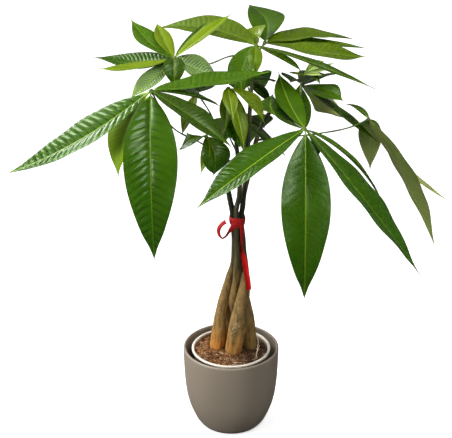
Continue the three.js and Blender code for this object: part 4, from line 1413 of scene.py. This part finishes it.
def strand(name, material):
    """One short curved strand or chip, lying along X: a piece of an arc, lifted in its middle."""
    stations, sides, half_thickness, flat, half_length, curl, lift = STRANDS[name]
    share = np.linspace(-1, 1, stations)
    size = np.maximum(1 - share**2, END_SHARE) ** 0.5 * half_thickness
    angle = np.linspace(0, 2 * math.pi, sides, endpoint=False)
    turn = curl * share
    x = half_length * np.sin(turn) / curl
    y = half_length * (1 - np.cos(turn)) / curl
    ring_y = y[:, None] + size[:, None] * np.cos(angle)
    ring_z = (lift * (1 - share**2))[:, None] + size[:, None] * flat * np.sin(angle)
    rings = np.stack([np.broadcast_to(x[:, None], ring_y.shape), ring_y, ring_z], 2)
    ends = np.broadcast_to(rings[[0, -1]].mean(1, keepdims=True), (2, sides, 3))
    points = np.concatenate([ends[:1], rings, ends[1:]]).reshape(-1, 3)
    return new_object(name, mesh_of(name, points, grid_quads(stations + 2, sides, closed=True), material))


def loose_coir(bed, tree, material):
    """Chips and fibres of coir, and pale root hairs, scattered over the bed."""
    made = []
    for name, (kind, *amounts) in LOOSE_COIR.items():
        piece = strand(kind, material)
        values = dict(zip(SCATTER_INPUTS, amounts))
        values.update({"Piece": piece, "Material": material})
        made.append(with_tree(new_object(name, top_of(bed)), tree, values, name))
        bpy.data.objects.remove(piece)
    return made


def standing_roots(tree, material):
    """The few pale strands of root that stand out of the coir."""
    source = course_object("root_strands", [smooth_course(points, ROOT_STEP)[0] for points in ROOTS])
    return with_tree(source, tree, {"Sides": ROOT_SIDES, "Tone": ROOT_TONE, "Material": material},
                     "root_strands")


# Ribbon

def towards(degrees):
    """The level direction that lies so many degrees from +X."""
    return math.cos(math.radians(degrees)), math.sin(math.radians(degrees))


def ribbon_course():
    """Points of the ribbon's middle, the way its flat side faces and its curl, from end to end."""
    turns = []
    for angle in range(BAND_START, BAND_START + BAND_TURN + 1, BAND_STEP):
        share = (angle - BAND_START) / BAND_TURN
        facing = towards(angle)
        x, y = [middle + (radius + BAND_GROWTH * share) * way
                for middle, radius, way in zip(BAND_CENTRE, BAND_RADII, facing)]
        turns.append((x, y, BAND_LOW + BAND_RISE * share, *facing, 0, BAND_CURL))
    tail = [(x, y, z, *towards(angle), 0, curl) for x, y, z, angle, curl in TAIL]
    return LOOSE_END + turns + tail


def ribbon(material):
    """The ribbon, a strip curled across and wound nearly twice round the stems, and its length in mm."""
    course, travel = smooth_course(ribbon_course(), RIBBON_STEP)
    along = unit(np.gradient(course[:, :3], axis=0))
    facing = course[:, 3:6]
    out = unit(facing - along * np.sum(facing * along, 1)[:, None])
    across = np.cross(out, along)
    sides = np.linspace(-1, 1, RIBBON_COLUMNS)
    curl = np.maximum(course[:, 6:7], LEAST_CURL)
    half = RIBBON_WIDTH / 2
    reach = half * np.sin(curl * sides) / curl
    depth = half * (1 - np.cos(curl * sides)) / curl
    sheets = []
    for offset in (RIBBON_THICKNESS / 2, -RIBBON_THICKNESS / 2):
        sheet = course[:, None, :3] + reach[:, :, None] * across[:, None, :]
        sheets.append(sheet + (offset - depth)[:, :, None] * out[:, None, :])
    points, quads = thin_sheet(*sheets)
    values = {"across": np.tile(sides, 2 * len(course)),
              "along": np.tile(np.repeat(travel, len(sides)), 2)}
    tie = new_object("ribbon_tie", mesh_of("ribbon_tie", points, quads, material, values))
    return tie, float(travel[-1])


# Scene

def add_lamp(name, place, target, size, power):
    """A softbox that lights the plant from its place and stays out of the picture."""
    data = bpy.data.lights.new(name, "AREA")
    data.size = size
    data.energy = power
    lamp = new_object(name, data)
    lamp.visible_camera = False
    lamp.location = place
    direction = mathutils.Vector(target) - mathutils.Vector(place)
    lamp.rotation_euler = direction.to_track_quat("-Z", "Y").to_euler()


def surround():
    """Dim white light, more of it from behind, above and the left than from the front and the right."""
    world = bpy.data.worlds.new("white surround")
    world.use_nodes = True
    tree = world.node_tree
    sky = tree.nodes["Background"]
    direction = put(tree, "ShaderNodeTexCoord").outputs["Generated"]
    right, back, up = [component(tree, direction, axis) for axis in "XYZ"]
    behind = times(tree, spread(tree, back, *SKY["behind"]), spread(tree, up, *SKY["over the horizon"]))
    sideways = spread(tree, right, *SKY["left"])
    light = plus(tree, times(tree, behind, sideways), spread(tree, up, *SKY["overhead"]))
    seen = put(tree, "ShaderNodeLightPath").outputs["Is Camera Ray"]
    strength = put(tree, "ShaderNodeMix", {0: seen, 2: light, 3: 1.0}, data_type="FLOAT").outputs[0]
    tree.links.new(strength, sky.inputs["Strength"])
    sky.inputs["Color"].default_value = WHITE
    bpy.context.scene.world = world


def floor_material():
    """Pale floor that shows white to the camera and throws little light back up at the plant."""
    material, tree, shader, place = new_material("pale floor")
    seen = put(tree, "ShaderNodeLightPath").outputs["Is Camera Ray"]
    away = put(tree, "ShaderNodeVectorMath", {0: place}, operation="LENGTH").outputs["Value"]
    glow = times(tree, seen, spread(tree, away, *FLOOR_GLOW))
    feed(tree, shader, blend(tree, seen, FLOOR_UNSEEN, FLOOR_SEEN), ROUGHNESS["floor"],
         others={"Emission Color": WHITE, "Emission Strength": glow})
    return material


def studio():
    """Plain pale floor, soft studio light and the camera."""
    surround()
    corners = [(x * FLOOR_REACH, y * FLOOR_REACH, 0) for x, y in ((-1, -1), (1, -1), (1, 1), (-1, 1))]
    floor = new_object("floor", mesh_of("floor", corners, [(0, 1, 2, 3)], floor_material()))
    for name, values in LAMPS.items():
        add_lamp(name, *values)
    camera = new_object("camera", bpy.data.cameras.new("camera"))
    camera.location = CAMERA_PLACE
    camera.rotation_euler = (CAMERA_TILT, 0, 0)
    camera.data.lens = CAMERA_LENS
    camera.data.sensor_width = CAMERA_SENSOR
    bpy.context.scene.camera = camera
    bpy.context.scene.view_settings.view_transform = "Standard"


def place_piece(piece, slot, *nodes):
    """Parents a finished piece to the root body and hides the CAD nodes that it covers."""
    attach(piece, "root")
    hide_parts(*nodes)


def build_leaves(blade, stalk, sweep, chance):
    """Blades and leafstalk of each leaf, the bud's with its opening leaflets and a thinner stalk."""
    for name, (hub, route, rows) in LEAVES.items():
        more, thickness = (OPENING, BUD_SCALE) if name == "leaf_bud" else ([], 1.0)
        place_piece(leaf_blades(name + "_blades", hub, rows + more, blade, chance), "leaf_green", name)
        place_piece(leafstalk(name + "_stalk", hub, route, sweep, stalk, thickness), "leaf_green", name)


def build_soil(coir, sweep, chance):
    """The bed of coir and everything loose on it."""
    bed = soil_bed(coir, chance)
    for piece in (*loose_coir(bed, scatter_tree(), coir), standing_roots(sweep, coir), bed):
        place_piece(piece, "coir", "soil")


def build_ribbon(red):
    """The ribbon, parented to the root body in place of the CAD ribbon."""
    tie, length = ribbon(red)
    place_piece(tie, "ribbon_red", "ribbon")


def main():
    """Builds the pots, the coir, the stems, the leaves, the ribbon and the studio."""
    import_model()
    chance = np.random.default_rng(SEED)
    tones = uneven_tone_group()
    relief = fine_relief_group()
    sweep = sweep_tree()
    place_piece(turned_piece("cover_pot_turned", POT_OUTLINE, pot_material(tones, relief)),
                "pot_glaze", "cover_pot")
    place_piece(turned_piece("nursery_pot_turned", LINER_OUTLINE, liner_material(tones, relief)),
                "nursery_plastic", "nursery_pot")
    build_soil(coir_material(tones, relief), sweep, chance)
    bark = bark_material(tones, relief)
    for name, points in STEMS.items():
        place_piece(stem_mesh(name, points, bark, chance), "bark", name)
    build_leaves(leaf_material(tones, relief), stalk_material(tones, relief), sweep, chance)
    build_ribbon(ribbon_material(tones))
    studio()


main()
